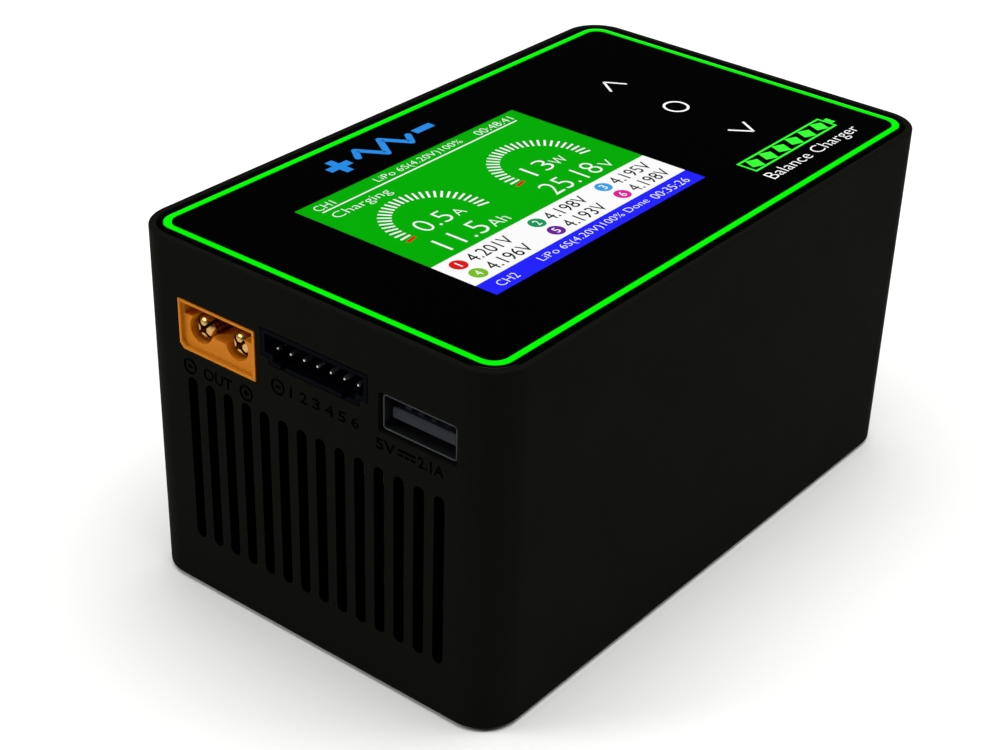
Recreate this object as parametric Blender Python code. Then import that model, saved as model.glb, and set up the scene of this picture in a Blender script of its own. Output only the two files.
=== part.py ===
"""Balance battery charger for model batteries, as an assembly of separate pieces.

Frame: origin under the middle of the feet, +Z up, the socket end faces -Y and the fan end faces +Y.
Sizes below are millimetres; add_object turns each finished mesh into metres.
"""

import math

import bmesh
import bpy
from mathutils import Matrix, Vector

MM = 0.001
GAP = 0.3  # play between neighbouring pieces

# Case
CASE_WIDTH = 68.0
CASE_LENGTH = 110.5
CASE_HEIGHT = 58.7
FOOT_RISE = 0.6  # how far the feet hold the case off the table
CORNER_RADIUS = 6.4
WALL = 2.0
RIM = 1.15  # width of the plastic lip round the top panel
EDGE_ROUND = 0.35
TOP = FOOT_RISE + CASE_HEIGHT
HALF_WIDTH = CASE_WIDTH / 2
HALF_LENGTH = CASE_LENGTH / 2

# Top panel, light ring and display
PANEL_THICKNESS = 1.2
PANEL_INSET = RIM + 0.2
RING_INSET = 2.49
RING_WIDTH = 0.95
RING_RADII = (3.05, 2.5)  # outer and inner corner
RING_DEPTH = 0.6
RING_PLAY = 0.1
SHELF_INSET = 3.6
SHELF_HEIGHT = 1.4
STEP_Z = TOP - PANEL_THICKNESS - 0.2  # ledge the panel rests on
TOUCH_BOARD_Z = TOP - 4.7
TOUCH_BOARD_X = HALF_WIDTH - WALL - 0.4
TOUCH_BOARD_Y = (-48.5, 40.0)
BOARD_THICKNESS = 1.0
SCREEN_X = (-20.3, 20.5)
SCREEN_Y = (-38.7, 16.5)
SCREEN_Z = (TOP - 1.75, TOP - 0.7)
KEY_X = (-13.3, 0.1, 13.3)
KEY_Y = 32.6
SPRING_TURNS = 3
SPRING_RADIUS = 3.2
SPRING_WIRE = 0.2

# Vent slots, the same on both ends
SLOT_COUNT = 14
SLOT_PITCH = 3.615
SLOT_WIDTH = 1.9
SLOT_MIDDLE = 0.8
SLOT_Z = (FOOT_RISE + 9.1, FOOT_RISE + 37.3)

# Power sockets: amber housing with two slit round contacts
POWER_SIZE = (15.2, 8.1)
POWER_DEPTH = 16.0
POWER_CAVITY_DEPTH = 11.0
POWER_WALL = 0.45
POWER_RIM_DEPTH = 0.55  # the rim stands this far proud of the face inside it
POWER_CHAMFER = 0.8  # the one cut corner of the housing
POWER_WELL_RADIUS = 2.2  # room round each contact
POWER_BAND_INSET = 0.25  # ledge between the rim and each end of the band over both wells
POWER_BAND_RISE = 1.6  # from the housing's middle up to the band
POWER_BAND_CUT = 0.8  # the band's upper corners
WINDOW_PLAY = 0.15  # between a socket and its window in the case
PIN_PLAY = 0.1  # between every contact and the hole it stands in
POWER_PIN_RADIUS = 1.85
POWER_PIN_RECESS = 1.05
POWER_PIN_PITCH = 7.2
POWER_PIN_DROP = 0.1  # the contacts sit this far below the housing's middle
OUTPUT_CENTRE = (-17.35, FOOT_RISE + 45.7)
DC_INPUT_CENTRE = (-17.3, FOOT_RISE + 47.6)

# Balance socket
BALANCE_PINS = 7
BALANCE_PITCH = 2.5
BALANCE_X = (-8.3, 11.4)
BALANCE_Z = (FOOT_RISE + 45.7, FOOT_RISE + 51.0)
BALANCE_STEP = (1.5, 1.1)  # notch in each lower corner
BALANCE_DEPTH = 10.8
BALANCE_CAVITY_DEPTH = 8.2
BALANCE_WALL = 0.65
BALANCE_PIN_SIDE = 0.64
BALANCE_PIN_CENTRE = (1.55, FOOT_RISE + 48.2)
BALANCE_PIN_RECESS = 0.85

# USB socket
USB_CENTRE = (20.3, FOOT_RISE + 46.3)
USB_SIZE = (13.1, 5.6)
USB_RECESS = 0.5  # the shell stands this far behind the wall's face
USB_DEPTH = 14.0
USB_SHEET = 0.35
USB_TONGUE_Z = (-1.15, 0.75)  # about the socket's middle
USB_TONGUE_WIDTH = 11.1
USB_CONTACT_PITCH = 2.25
USB_CONTACT_WIDTH = 1.0

# Mains inlet
AC_CENTRE = (14.5, FOOT_RISE + 47.6)
AC_SIZE = (18.0, 9.0)
AC_CORNER = 1.0
AC_RECESS = (15.2, 7.6)
AC_RECESS_DEPTH = 9.0
AC_DEPTH = 14.0
AC_PIN_PITCH = 8.6
AC_PIN_RADIUS = 1.18

# Boards
MAIN_BOARD_Z = FOOT_RISE + 51.3
MAIN_BOARD_THICKNESS = 1.6
MAIN_BOARD_X = 29.5
MAIN_BOARD_Y = (-51.0, 34.0)
POWER_BOARD_Z = FOOT_RISE + 6.9
POWER_BOARD_X = 29.0
POWER_BOARD_Y = (-44.0, 39.0)
POWER_BOARD_TOP = POWER_BOARD_Z + MAIN_BOARD_THICKNESS + GAP
BOARD_POSTS = ((25.0, -39.0), (25.0, 34.0), (-25.0, -39.0), (-25.0, 34.0))

# Heavy parts inside
HEATSINK_FINS = 9
HEATSINK_FIN = 1.2
HEATSINK_PITCH = 5.4
HEATSINK_BASE = 3.0
HEATSINK_Y = (-8.0, 28.0)
HEATSINK_LOW = FOOT_RISE + 37.0
TRANSFORMER_AT = (-12.0, -20.0, 0.0)
TRANSFORMER_CORE = (27.0, 12.0, 22.0)
TRANSFORMER_LEG = 7.0
TRANSFORMER_YOKE = 4.0
WINDING_SIZE = (19.2, 24.0)
CAPACITORS = (
    ("bulk_capacitor_1", 15.5, -30.0, 8.0, 27.0),
    ("bulk_capacitor_2", 15.5, -11.0, 8.0, 27.0),
    ("output_capacitor", 20.0, 8.0, 5.0, 18.0),
)
FILTER_CHOKES = (("filter_choke_1", -14.0, 8.0, 10.0), ("filter_choke_2", -14.0, 24.0, 9.0))
BOOST_CHOKES = (("boost_choke_1", -11.0, -24.0), ("boost_choke_2", 8.0, -24.0))
BOOST_CHOKE_SIDE = 16.5
BOOST_CHOKE_HEIGHT = 9.5
BUZZER_AT = (23.5, -28.0, 0.0)
BUZZER_RADIUS = 4.5
BUZZER_HEIGHT = 6.0

# Bottom cover, feet and screws
COVER_THICKNESS = 2.4
COVER_INSET = 2.25
COVER_TOP = FOOT_RISE + COVER_THICKNESS
SCREW_AT = (HALF_WIDTH - CORNER_RADIUS + 0.7, HALF_LENGTH - CORNER_RADIUS + 0.7)
SCREW_HEAD_RADIUS = 2.6
SCREW_SHANK_RADIUS = 1.2
SCREW_LENGTH = 10.0
BOSS_RADIUS = 4.0
BOSS_TOP = 16.0
FOOT_AT = (21.0, 43.0)
FOOT_RADIUS = 4.5
FOOT_THICKNESS = 1.3

# Fan
FAN_SIZE = 40.0
FAN_DEPTH = 10.0
FAN_BORE = 19.0
FAN_BLADES = 7
FAN_BLADE_TIP = 18.3
FAN_HUB = 8.0
BLADE_STATIONS = (  # radius, sweep in degrees, chord, pitch in degrees
    (FAN_HUB - 0.5, 0.0, 6.2, 42.0),
    (13.0, 10.0, 9.0, 34.0),
    (FAN_BLADE_TIP, 17.0, 11.0, 27.0),
)
BLADE_THICKNESS = 0.9
FAN_CENTRE = Vector((0.8, HALF_LENGTH - WALL - 0.5 - FAN_DEPTH / 2, 23.4))

FOUR_CORNERS = ((1, 1), (-1, 1), (-1, -1), (1, -1))


def clear_scene():
    for old in list(bpy.data.objects):
        bpy.data.objects.remove(old, do_unlink=True)


def make_material(name, colour, roughness, metallic=0.0, glow=0.0):
    material = bpy.data.materials.new(name)
    material.use_nodes = True
    shader = material.node_tree.nodes["Principled BSDF"]
    shader.inputs["Base Color"].default_value = (*colour, 1.0)
    shader.inputs["Roughness"].default_value = roughness
    shader.inputs["Metallic"].default_value = metallic
    if glow:
        shader.inputs["Emission Color"].default_value = (*colour, 1.0)
        shader.inputs["Emission Strength"].default_value = glow
    material.diffuse_color = (*colour, 1.0)
    return material


def flat(u, v, w):
    """Outline in XY, extruded along Z."""
    return (u, v, w)


def facing(u, v, w):
    """Outline in XZ, extruded along Y."""
    return (u, w, v)


def sideways(u, v, w):
    """Outline in YZ, extruded along X."""
    return (w, u, v)


def arc(centre, radius, start, stop, steps):
    """Points of an arc, angles in degrees, both ends included."""
    points = []
    for step in range(steps + 1):
        angle = math.radians(start + (stop - start) * step / steps)
        points.append((centre[0] + radius * math.cos(angle), centre[1] + radius * math.sin(angle)))
    return points


def rounded_rectangle(width, height, radius, steps=6, centre=(0.0, 0.0)):
    points = []
    for turn, (sx, sy) in enumerate(FOUR_CORNERS):
        corner = (
            centre[0] + sx * (width / 2 - radius),
            centre[1] + sy * (height / 2 - radius),
        )
        points += arc(corner, radius, 90 * turn, 90 * turn + 90, steps)
    return points


def case_outline(inset, radius=None, steps=8):
    """The case's plan outline moved inwards by inset."""
    corner = CORNER_RADIUS - inset if radius is None else radius
    return rounded_rectangle(CASE_WIDTH - 2 * inset, CASE_LENGTH - 2 * inset, corner, steps)


def add_prism(bm, outline, low, high, place=flat):
    ends = [[bm.verts.new(place(u, v, w)) for u, v in outline] for w in (low, high)]
    count = len(outline)
    bm.faces.new(ends[0][::-1])
    bm.faces.new(ends[1])
    for i in range(count):
        j = (i + 1) % count
        bm.faces.new((ends[0][i], ends[0][j], ends[1][j], ends[1][i]))


def add_box(bm, x, y, z):
    add_prism(bm, ((x[0], y[0]), (x[1], y[0]), (x[1], y[1]), (x[0], y[1])), z[0], z[1])


def add_swept_ring(bm, profile):
    """Sweeps a closed profile of (inset, z, corner radius) round the case's plan outline."""
    rings = []
    for inset, z, radius in profile:
        outline = case_outline(inset, radius)
        rings.append([bm.verts.new((u, v, z)) for u, v in outline])
    add_tube(bm, rings, closed=True)


def add_tube(bm, rings, closed=False):
    """Skins a row of equal rings of vertices; an open row gets its two end faces."""
    count = len(rings[0])
    pairs = list(zip(rings, rings[1:]))
    if closed:
        pairs.append((rings[-1], rings[0]))
    else:
        bm.faces.new(rings[0])
        bm.faces.new(rings[-1])
    for low, high in pairs:
        for i in range(count):
            j = (i + 1) % count
            bm.faces.new((low[i], low[j], high[j], high[i]))


def add_turned(bm, profile, segments, centre=(0.0, 0.0, 0.0), place=flat):
    """Turns an open profile of (radius, height) that starts and ends on the axis."""
    rings = []
    for radius, height in profile:
        if radius == 0:
            points = [(0.0, 0.0)]
        else:
            points = arc((0.0, 0.0), radius, 0, 360 - 360 / segments, segments - 1)
        ring = []
        for u, v in points:
            spot = Vector(place(u, v, height)) + Vector(centre)
            ring.append(bm.verts.new(spot))
        rings.append(ring)
    for low, high in zip(rings, rings[1:]):
        for i in range(segments):
            j = (i + 1) % segments
            corners = [low[i % len(low)], low[j % len(low)], high[j % len(high)], high[i % len(high)]]
            unique = list(dict.fromkeys(corners))
            bm.faces.new(unique)


def add_object(name, bm, material, origin=(0.0, 0.0, 0.0)):
    """Closes off a mesh drawn in millimetres about origin, and places it in metres."""
    bmesh.ops.recalc_face_normals(bm, faces=bm.faces)
    bmesh.ops.scale(bm, vec=(MM, MM, MM), verts=bm.verts)
    mesh = bpy.data.meshes.new(name)
    bm.to_mesh(mesh)
    bm.free()
    mesh.shade_smooth()
    mesh.set_sharp_from_angle(angle=math.radians(30))
    if material:
        mesh.materials.append(material)
    made = bpy.data.objects.new(name, mesh)
    made.location = Vector(origin) * MM
    bpy.context.scene.collection.objects.link(made)
    return made


def combine(target, name, bm, operation):
    """Adds a hidden helper to target with a live Boolean."""
    helper = add_object(name, bm, None, target.location / MM)
    helper.hide_render = True
    helper.display_type = "WIRE"
    modifier = target.modifiers.new(name, "BOOLEAN")
    modifier.operation = operation
    modifier.solver = "EXACT"
    modifier.object = helper


def slot_centres():
    first = SLOT_MIDDLE - SLOT_PITCH * (SLOT_COUNT - 1) / 2
    return [first + SLOT_PITCH * i for i in range(SLOT_COUNT)]


def slot_outline(middle):
    half = SLOT_WIDTH / 2
    low, high = SLOT_Z[0] + half, SLOT_Z[1] - half
    return arc((middle, high), half, 0, 180, 6) + arc((middle, low), half, 180, 360, 6)


def balance_outline(grow=0.0):
    """Front outline of the balance socket, with its two stepped lower corners."""
    left, right = BALANCE_X[0] - grow, BALANCE_X[1] + grow
    low, high = BALANCE_Z[0] - grow, BALANCE_Z[1] + grow
    step_x, step_z = BALANCE_STEP
    return (
        (left, high),
        (left, low + step_z),
        (left + step_x, low + step_z),
        (left + step_x, low),
        (right - step_x, low),
        (right - step_x, low + step_z),
        (right, low + step_z),
        (right, high),
    )


def power_outline(centre, end, grow=0.0):
    """Rectangle with its lower corner on the minus side cut off."""
    reach_x, reach_z = POWER_SIZE[0] / 2 + grow, POWER_SIZE[1] / 2 + grow
    outline = (
        (reach_x, -reach_z),
        (reach_x, reach_z),
        (-reach_x, reach_z),
        (-reach_x, -reach_z + POWER_CHAMFER),
        (-reach_x + POWER_CHAMFER, -reach_z),
    )
    return [(centre[0] - end * x, centre[1] + z) for x, z in outline]


def power_cavity(centre):
    """Round room under each contact, open to one band above them."""
    top = centre[1] + POWER_SIZE[1] / 2 - POWER_WALL
    low = centre[1] + POWER_BAND_RISE
    pin_z = centre[1] - POWER_PIN_DROP
    left = centre[0] - POWER_SIZE[0] / 2 + POWER_WALL + POWER_BAND_INSET
    right = centre[0] + POWER_SIZE[0] / 2 - POWER_WALL - POWER_BAND_INSET
    cut = POWER_BAND_CUT
    outline = [(left + cut, top), (left, top - cut), (left, low)]
    pitch = POWER_PIN_PITCH / 2
    outline += arc((centre[0] - pitch, pin_z), POWER_WELL_RADIUS, 130, 350, 18)
    outline += arc((centre[0] + pitch, pin_z), POWER_WELL_RADIUS, 190, 410, 18)
    outline += [(right, low), (right, top - cut), (right - cut, top)]
    return outline


def wall_span(end):
    """Y range that runs right through the front (-1) or rear (+1) wall."""
    return sorted((end * (HALF_LENGTH + 2.0), end * (HALF_LENGTH - WALL - 3.0)))


def build_case(material):
    bm = bmesh.new()
    shelf_top = TOUCH_BOARD_Z - GAP
    shelf_low = shelf_top - SHELF_HEIGHT
    profile = [(EDGE_ROUND, FOOT_RISE, None), (0.0, FOOT_RISE + EDGE_ROUND, None)]
    for inset, drop in arc((EDGE_ROUND, EDGE_ROUND), EDGE_ROUND, 180, 270, 3):
        profile.append((inset, TOP - drop, None))
    profile += [
        (RIM, TOP, None),
        (RIM, STEP_Z, None),
        (WALL, STEP_Z, None),
        (WALL, shelf_top, None),
        (SHELF_INSET, shelf_top, None),
        (SHELF_INSET, shelf_low, None),
        (WALL, shelf_low - 1.0, None),
        (WALL, FOOT_RISE, None),
    ]
    add_swept_ring(bm, profile)
    case = add_object("case_shell", bm, material)

    # Screw bosses in the corners, and two rails that hold the fan
    bm = bmesh.new()
    for sx, sy in FOUR_CORNERS:
        boss = arc((sx * SCREW_AT[0], sy * SCREW_AT[1]), BOSS_RADIUS, 0, 345, 23)
        add_prism(bm, boss, COVER_TOP + GAP, BOSS_TOP)
    for side in (-1, 1):
        near = FAN_CENTRE.x + side * (FAN_SIZE / 2 + GAP)
        rail_x = sorted((near, near + side * 1.5))
        rail_y = (HALF_LENGTH - WALL - 8.0, HALF_LENGTH - WALL + 0.5)
        add_box(bm, rail_x, rail_y, (COVER_TOP + 1.0, FAN_CENTRE.z + FAN_SIZE / 2))
    combine(case, "case_ribs", bm, "UNION")

    # Vents, port windows and pilot holes
    bm = bmesh.new()
    for end in (-1, 1):
        for middle in slot_centres():
            add_prism(bm, slot_outline(middle), *wall_span(end), facing)
    play = 2 * WINDOW_PLAY
    for centre, end in ((OUTPUT_CENTRE, -1), (DC_INPUT_CENTRE, 1)):
        window = power_outline(centre, end, WINDOW_PLAY)
        add_prism(bm, window, *wall_span(end), facing)
    add_prism(bm, balance_outline(WINDOW_PLAY), *wall_span(-1), facing)
    usb = rounded_rectangle(USB_SIZE[0] + 0.7, USB_SIZE[1] + 0.7, 0.5, 2, USB_CENTRE)
    add_prism(bm, usb, *wall_span(-1), facing)
    inlet = rounded_rectangle(AC_SIZE[0] + play, AC_SIZE[1] + play, AC_CORNER, 3, AC_CENTRE)
    add_prism(bm, inlet, *wall_span(1), facing)
    for sx, sy in FOUR_CORNERS:
        pilot = arc((sx * SCREW_AT[0], sy * SCREW_AT[1]), SCREW_SHANK_RADIUS + 0.1, 0, 330, 11)
        add_prism(bm, pilot, COVER_TOP - 1.0, BOSS_TOP - 2.0)
    combine(case, "case_cutters", bm, "DIFFERENCE")


def build_bottom_cover(material):
    bm = bmesh.new()
    add_prism(bm, case_outline(COVER_INSET), FOOT_RISE, COVER_TOP)
    cover = add_object("bottom_cover", bm, material)

    bm = bmesh.new()
    for x, y in BOARD_POSTS:
        add_prism(bm, arc((x, y), 2.5, 0, 330, 11), COVER_TOP - 0.5, POWER_BOARD_Z - GAP)
    combine(cover, "cover_posts", bm, "UNION")

    bm = bmesh.new()
    head_depth = 1.5
    well_depth = FOOT_THICKNESS - FOOT_RISE + 0.15
    for sx, sy in FOUR_CORNERS:
        at = (sx * SCREW_AT[0], sy * SCREW_AT[1], 0.0)
        stepped = (
            (0.0, FOOT_RISE - 1.0),
            (SCREW_HEAD_RADIUS + 0.2, FOOT_RISE - 1.0),
            (SCREW_HEAD_RADIUS + 0.2, FOOT_RISE + head_depth),
            (SCREW_SHANK_RADIUS + 0.3, FOOT_RISE + head_depth),
            (SCREW_SHANK_RADIUS + 0.3, COVER_TOP + 1.0),
            (0.0, COVER_TOP + 1.0),
        )
        add_turned(bm, stepped, 16, at)
        well = arc((sx * FOOT_AT[0], sy * FOOT_AT[1]), FOOT_RADIUS + 0.2, 0, 345, 23)
        add_prism(bm, well, FOOT_RISE - 1.0, FOOT_RISE + well_depth)
    combine(cover, "cover_cutters", bm, "DIFFERENCE")


def build_screws_and_feet(screw_material, foot_material):
    head_low = FOOT_RISE + 0.15
    shank_low = head_low + 1.25
    screw = (
        (0.0, head_low + 0.7),
        (1.0, head_low + 0.5),
        (1.2, head_low),
        (SCREW_HEAD_RADIUS - 0.4, head_low),
        (SCREW_HEAD_RADIUS, head_low + 0.4),
        (SCREW_HEAD_RADIUS, shank_low),
        (SCREW_SHANK_RADIUS, shank_low),
        (SCREW_SHANK_RADIUS, shank_low + SCREW_LENGTH - 0.8),
        (0.5, shank_low + SCREW_LENGTH),
        (0.0, shank_low + SCREW_LENGTH),
    )
    foot = (
        (0.0, 0.0),
        (FOOT_RADIUS - 0.4, 0.0),
        (FOOT_RADIUS, 0.3),
        (FOOT_RADIUS, FOOT_THICKNESS),
        (0.0, FOOT_THICKNESS),
    )
    for number, (sx, sy) in enumerate(FOUR_CORNERS, 1):
        bm = bmesh.new()
        add_turned(bm, screw, 14)
        at = (sx * SCREW_AT[0], sy * SCREW_AT[1], 0.0)
        add_object(f"case_screw_{number}", bm, screw_material, at)
        bm = bmesh.new()
        add_turned(bm, foot, 24)
        at = (sx * FOOT_AT[0], sy * FOOT_AT[1], 0.0)
        add_object(f"rubber_foot_{number}", bm, foot_material, at)


def build_top(panel_material, ring_material, screen_material, tray_material, board_material):
    # Clear lens printed black underneath, with a groove for the ring and a pocket for the screen
    bm = bmesh.new()
    add_prism(bm, case_outline(PANEL_INSET), TOP - PANEL_THICKNESS, TOP)
    panel = add_object("top_panel", bm, panel_material)
    inner_inset = RING_INSET + RING_WIDTH
    outer_radius, inner_radius = RING_RADII
    bm = bmesh.new()
    floor = TOP - RING_DEPTH - RING_PLAY
    outer = (RING_INSET - RING_PLAY, outer_radius + RING_PLAY)
    inner = (inner_inset + RING_PLAY, inner_radius - RING_PLAY)
    groove = (
        (outer[0], floor, outer[1]),
        (outer[0], TOP + 1.0, outer[1]),
        (inner[0], TOP + 1.0, inner[1]),
        (inner[0], floor, inner[1]),
    )
    add_swept_ring(bm, groove)
    pocket_top = SCREEN_Z[1] + 0.2
    pocket_x = (SCREEN_X[0] - GAP, SCREEN_X[1] + GAP)
    pocket_y = (SCREEN_Y[0] - GAP, SCREEN_Y[1] + GAP)
    add_box(bm, pocket_x, pocket_y, (TOP - PANEL_THICKNESS - 1.0, pocket_top))
    combine(panel, "panel_cutters", bm, "DIFFERENCE")

    bm = bmesh.new()
    ring = (
        (RING_INSET, TOP - RING_DEPTH, outer_radius),
        (RING_INSET, TOP, outer_radius),
        (inner_inset, TOP, inner_radius),
        (inner_inset, TOP - RING_DEPTH, inner_radius),
    )
    add_swept_ring(bm, ring)
    add_object("light_ring", bm, ring_material)

    bm = bmesh.new()
    add_box(bm, SCREEN_X, SCREEN_Y, SCREEN_Z)
    add_object("display_screen", bm, screen_material)

    # Tray that holds the screen's edges and its back light
    wall = 0.6
    play = 0.2
    tray_low = TOUCH_BOARD_Z + BOARD_THICKNESS + GAP
    bm = bmesh.new()
    grow = wall + play
    tray_x = (SCREEN_X[0] - grow, SCREEN_X[1] + grow)
    tray_y = (SCREEN_Y[0] - grow, SCREEN_Y[1] + grow)
    add_box(bm, tray_x, tray_y, (tray_low, STEP_Z))
    tray = add_object("display_tray", bm, tray_material)
    bm = bmesh.new()
    bed_x = (SCREEN_X[0] - play, SCREEN_X[1] + play)
    bed_y = (SCREEN_Y[0] - play, SCREEN_Y[1] + play)
    add_box(bm, bed_x, bed_y, (SCREEN_Z[0] - play, TOP))
    combine(tray, "tray_cutter", bm, "DIFFERENCE")

    bm = bmesh.new()
    board_z = (TOUCH_BOARD_Z, TOUCH_BOARD_Z + BOARD_THICKNESS)
    add_box(bm, (-TOUCH_BOARD_X, TOUCH_BOARD_X), TOUCH_BOARD_Y, board_z)
    add_object("touch_board", bm, board_material)


def build_touch_springs(material):
    """Coil springs that carry each touch key from the board up to the lens."""
    names = ("touch_spring_up", "touch_spring_ok", "touch_spring_down")
    steps = 14
    low = TOUCH_BOARD_Z + BOARD_THICKNESS + SPRING_WIRE + 0.1
    high = TOP - PANEL_THICKNESS - SPRING_WIRE - 0.1
    for name, key_x in zip(names, KEY_X):
        curve = bpy.data.curves.new(name, "CURVE")
        curve.dimensions = "3D"
        curve.bevel_depth = SPRING_WIRE * MM
        curve.bevel_resolution = 1
        curve.use_fill_caps = True
        spline = curve.splines.new("POLY")
        spline.points.add(SPRING_TURNS * steps)
        for i, point in enumerate(spline.points):
            angle = 2 * math.pi * i / steps
            height = low + (high - low) * i / (SPRING_TURNS * steps)
            x = SPRING_RADIUS * math.cos(angle)
            y = SPRING_RADIUS * math.sin(angle)
            point.co = (x * MM, y * MM, height * MM, 1.0)
        curve.materials.append(material)
        spring = bpy.data.objects.new(name, curve)
        spring.location = (key_x * MM, KEY_Y * MM, 0.0)
        bpy.context.scene.collection.objects.link(spring)


def build_power_socket(name, pin_names, centre, end, housing_material, pin_material):
    """An amber two-pole socket in the front (-1) or rear (+1) wall."""
    mouth = end * HALF_LENGTH
    back = mouth - end * POWER_DEPTH
    floor = mouth - end * POWER_CAVITY_DEPTH
    bm = bmesh.new()
    add_prism(bm, power_outline(centre, end), *sorted((mouth, back)), facing)
    housing = add_object(name, bm, housing_material)
    bm = bmesh.new()
    face = mouth - end * POWER_RIM_DEPTH
    add_prism(bm, power_outline(centre, end, -POWER_WALL), *sorted((mouth + end, face)), facing)
    combine(housing, name + "_rim", bm, "DIFFERENCE")
    bm = bmesh.new()
    add_prism(bm, power_cavity(centre), *sorted((mouth + end, floor)), facing)
    combine(housing, name + "_cavity", bm, "DIFFERENCE")
    bm = bmesh.new()
    pin_z = centre[1] - POWER_PIN_DROP
    for side in (-1, 1):
        pin_x = centre[0] + side * POWER_PIN_PITCH / 2
        bore = arc((pin_x, pin_z), POWER_PIN_RADIUS + PIN_PLAY, 0, 337.5, 15)
        add_prism(bm, bore, *sorted((floor + end, back - end)), facing)
    combine(housing, name + "_bores", bm, "DIFFERENCE")

    tip = -POWER_PIN_RECESS
    tail = -(POWER_DEPTH + 1.5)
    round_pin = (
        (0.0, tail),
        (POWER_PIN_RADIUS, tail),
        (POWER_PIN_RADIUS, tip - 0.7),
        (POWER_PIN_RADIUS - 0.3, tip - 0.15),
        (POWER_PIN_RADIUS - 0.8, tip),
        (0.0, tip),
    )
    slit, hub, reach = 0.25, 0.6, 3.0
    for pin_name, side in zip(pin_names, (end, -end)):  # minus on the cut corner's side
        at = (centre[0] + side * POWER_PIN_PITCH / 2, mouth, pin_z)
        bm = bmesh.new()
        add_turned(bm, [(r, end * y) for r, y in round_pin], 16, place=facing)
        pin = add_object(pin_name, bm, pin_material, at)
        bm = bmesh.new()
        slit_y = sorted((end * (tip + 1.0), end * (tip - 5.0)))
        cross = []
        for quarter in range(4):
            turn = Matrix.Rotation(math.radians(45 + 90 * quarter), 2)
            for point in ((hub, slit), (slit, hub), (slit, reach), (-slit, reach)):
                cross.append(tuple(turn @ Vector(point)))
        add_prism(bm, cross, *slit_y, facing)
        combine(pin, pin_name + "_slit", bm, "DIFFERENCE")


def build_balance_socket(housing_material, pin_material):
    mouth = -HALF_LENGTH
    back = mouth + BALANCE_DEPTH
    floor = mouth + BALANCE_CAVITY_DEPTH
    bm = bmesh.new()
    add_prism(bm, balance_outline(), mouth, back, facing)
    housing = add_object("balance_socket", bm, housing_material)
    bm = bmesh.new()
    add_prism(bm, balance_outline(-BALANCE_WALL), mouth - 1.0, floor, facing)
    combine(housing, "balance_cavity", bm, "DIFFERENCE")
    bm = bmesh.new()
    first = BALANCE_PIN_CENTRE[0] - BALANCE_PITCH * (BALANCE_PINS - 1) / 2
    pin_places = [first + BALANCE_PITCH * i for i in range(BALANCE_PINS)]
    pin_z = BALANCE_PIN_CENTRE[1]
    half = BALANCE_PIN_SIDE / 2
    hole = half + PIN_PLAY
    for x in pin_places:
        add_box(bm, (x - hole, x + hole), (floor - 1.0, back + 1.0), (pin_z - hole, pin_z + hole))
    combine(housing, "balance_bores", bm, "DIFFERENCE")
    tip = mouth + BALANCE_PIN_RECESS
    stations = ((half / 2, tip), (half, tip + 0.5), (half, back + 1.2))
    for number, x in enumerate(pin_places):
        bm = bmesh.new()
        rings = []
        for reach, y in stations:
            corners = [(x + reach * u, y, pin_z + reach * v) for u, v in FOUR_CORNERS]
            rings.append([bm.verts.new(spot) for spot in corners])
        add_tube(bm, rings)
        add_object(f"balance_pin_{number}", bm, pin_material)


def build_usb_socket(shell_material, tongue_material, contact_material):
    x, z = USB_CENTRE
    width, height = USB_SIZE
    mouth = -HALF_LENGTH + USB_RECESS
    back = mouth + USB_DEPTH
    bm = bmesh.new()
    add_prism(bm, rounded_rectangle(width, height, 0.6, 3, USB_CENTRE), mouth, back, facing)
    shell = add_object("usb_shell", bm, shell_material)
    bm = bmesh.new()
    inner = (width - 2 * USB_SHEET, height - 2 * USB_SHEET)
    add_prism(bm, rounded_rectangle(*inner, 0.3, 3, USB_CENTRE), mouth - 1.0, back + 1.0, facing)
    combine(shell, "usb_cutter", bm, "DIFFERENCE")

    # Insulator: a block at the back that carries the tongue, as one side profile
    block_half = inner[1] / 2 - 0.1
    block_front, block_back = back - 4.0, back - 0.2
    tongue_front = mouth + 0.9
    tongue_low, tongue_high = z + USB_TONGUE_Z[0], z + USB_TONGUE_Z[1]
    profile = (
        (tongue_front, tongue_low),
        (block_front, tongue_low),
        (block_front, z - block_half),
        (block_back, z - block_half),
        (block_back, z + block_half),
        (block_front, z + block_half),
        (block_front, tongue_high),
        (tongue_front, tongue_high),
    )
    tongue_half = USB_TONGUE_WIDTH / 2
    contact_half = USB_CONTACT_WIDTH / 2
    bm = bmesh.new()
    add_prism(bm, profile, x - tongue_half, x + tongue_half, sideways)
    add_object("usb_tongue", bm, tongue_material)
    for number in range(4):
        middle = x + (number - 1.5) * USB_CONTACT_PITCH
        bm = bmesh.new()
        strip_z = (tongue_high + 0.08, tongue_high + 0.33)
        strip_x = (middle - contact_half, middle + contact_half)
        add_box(bm, strip_x, (tongue_front + 0.7, block_front - 0.2), strip_z)
        add_object(f"usb_contact_{number + 1}", bm, contact_material)


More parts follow.
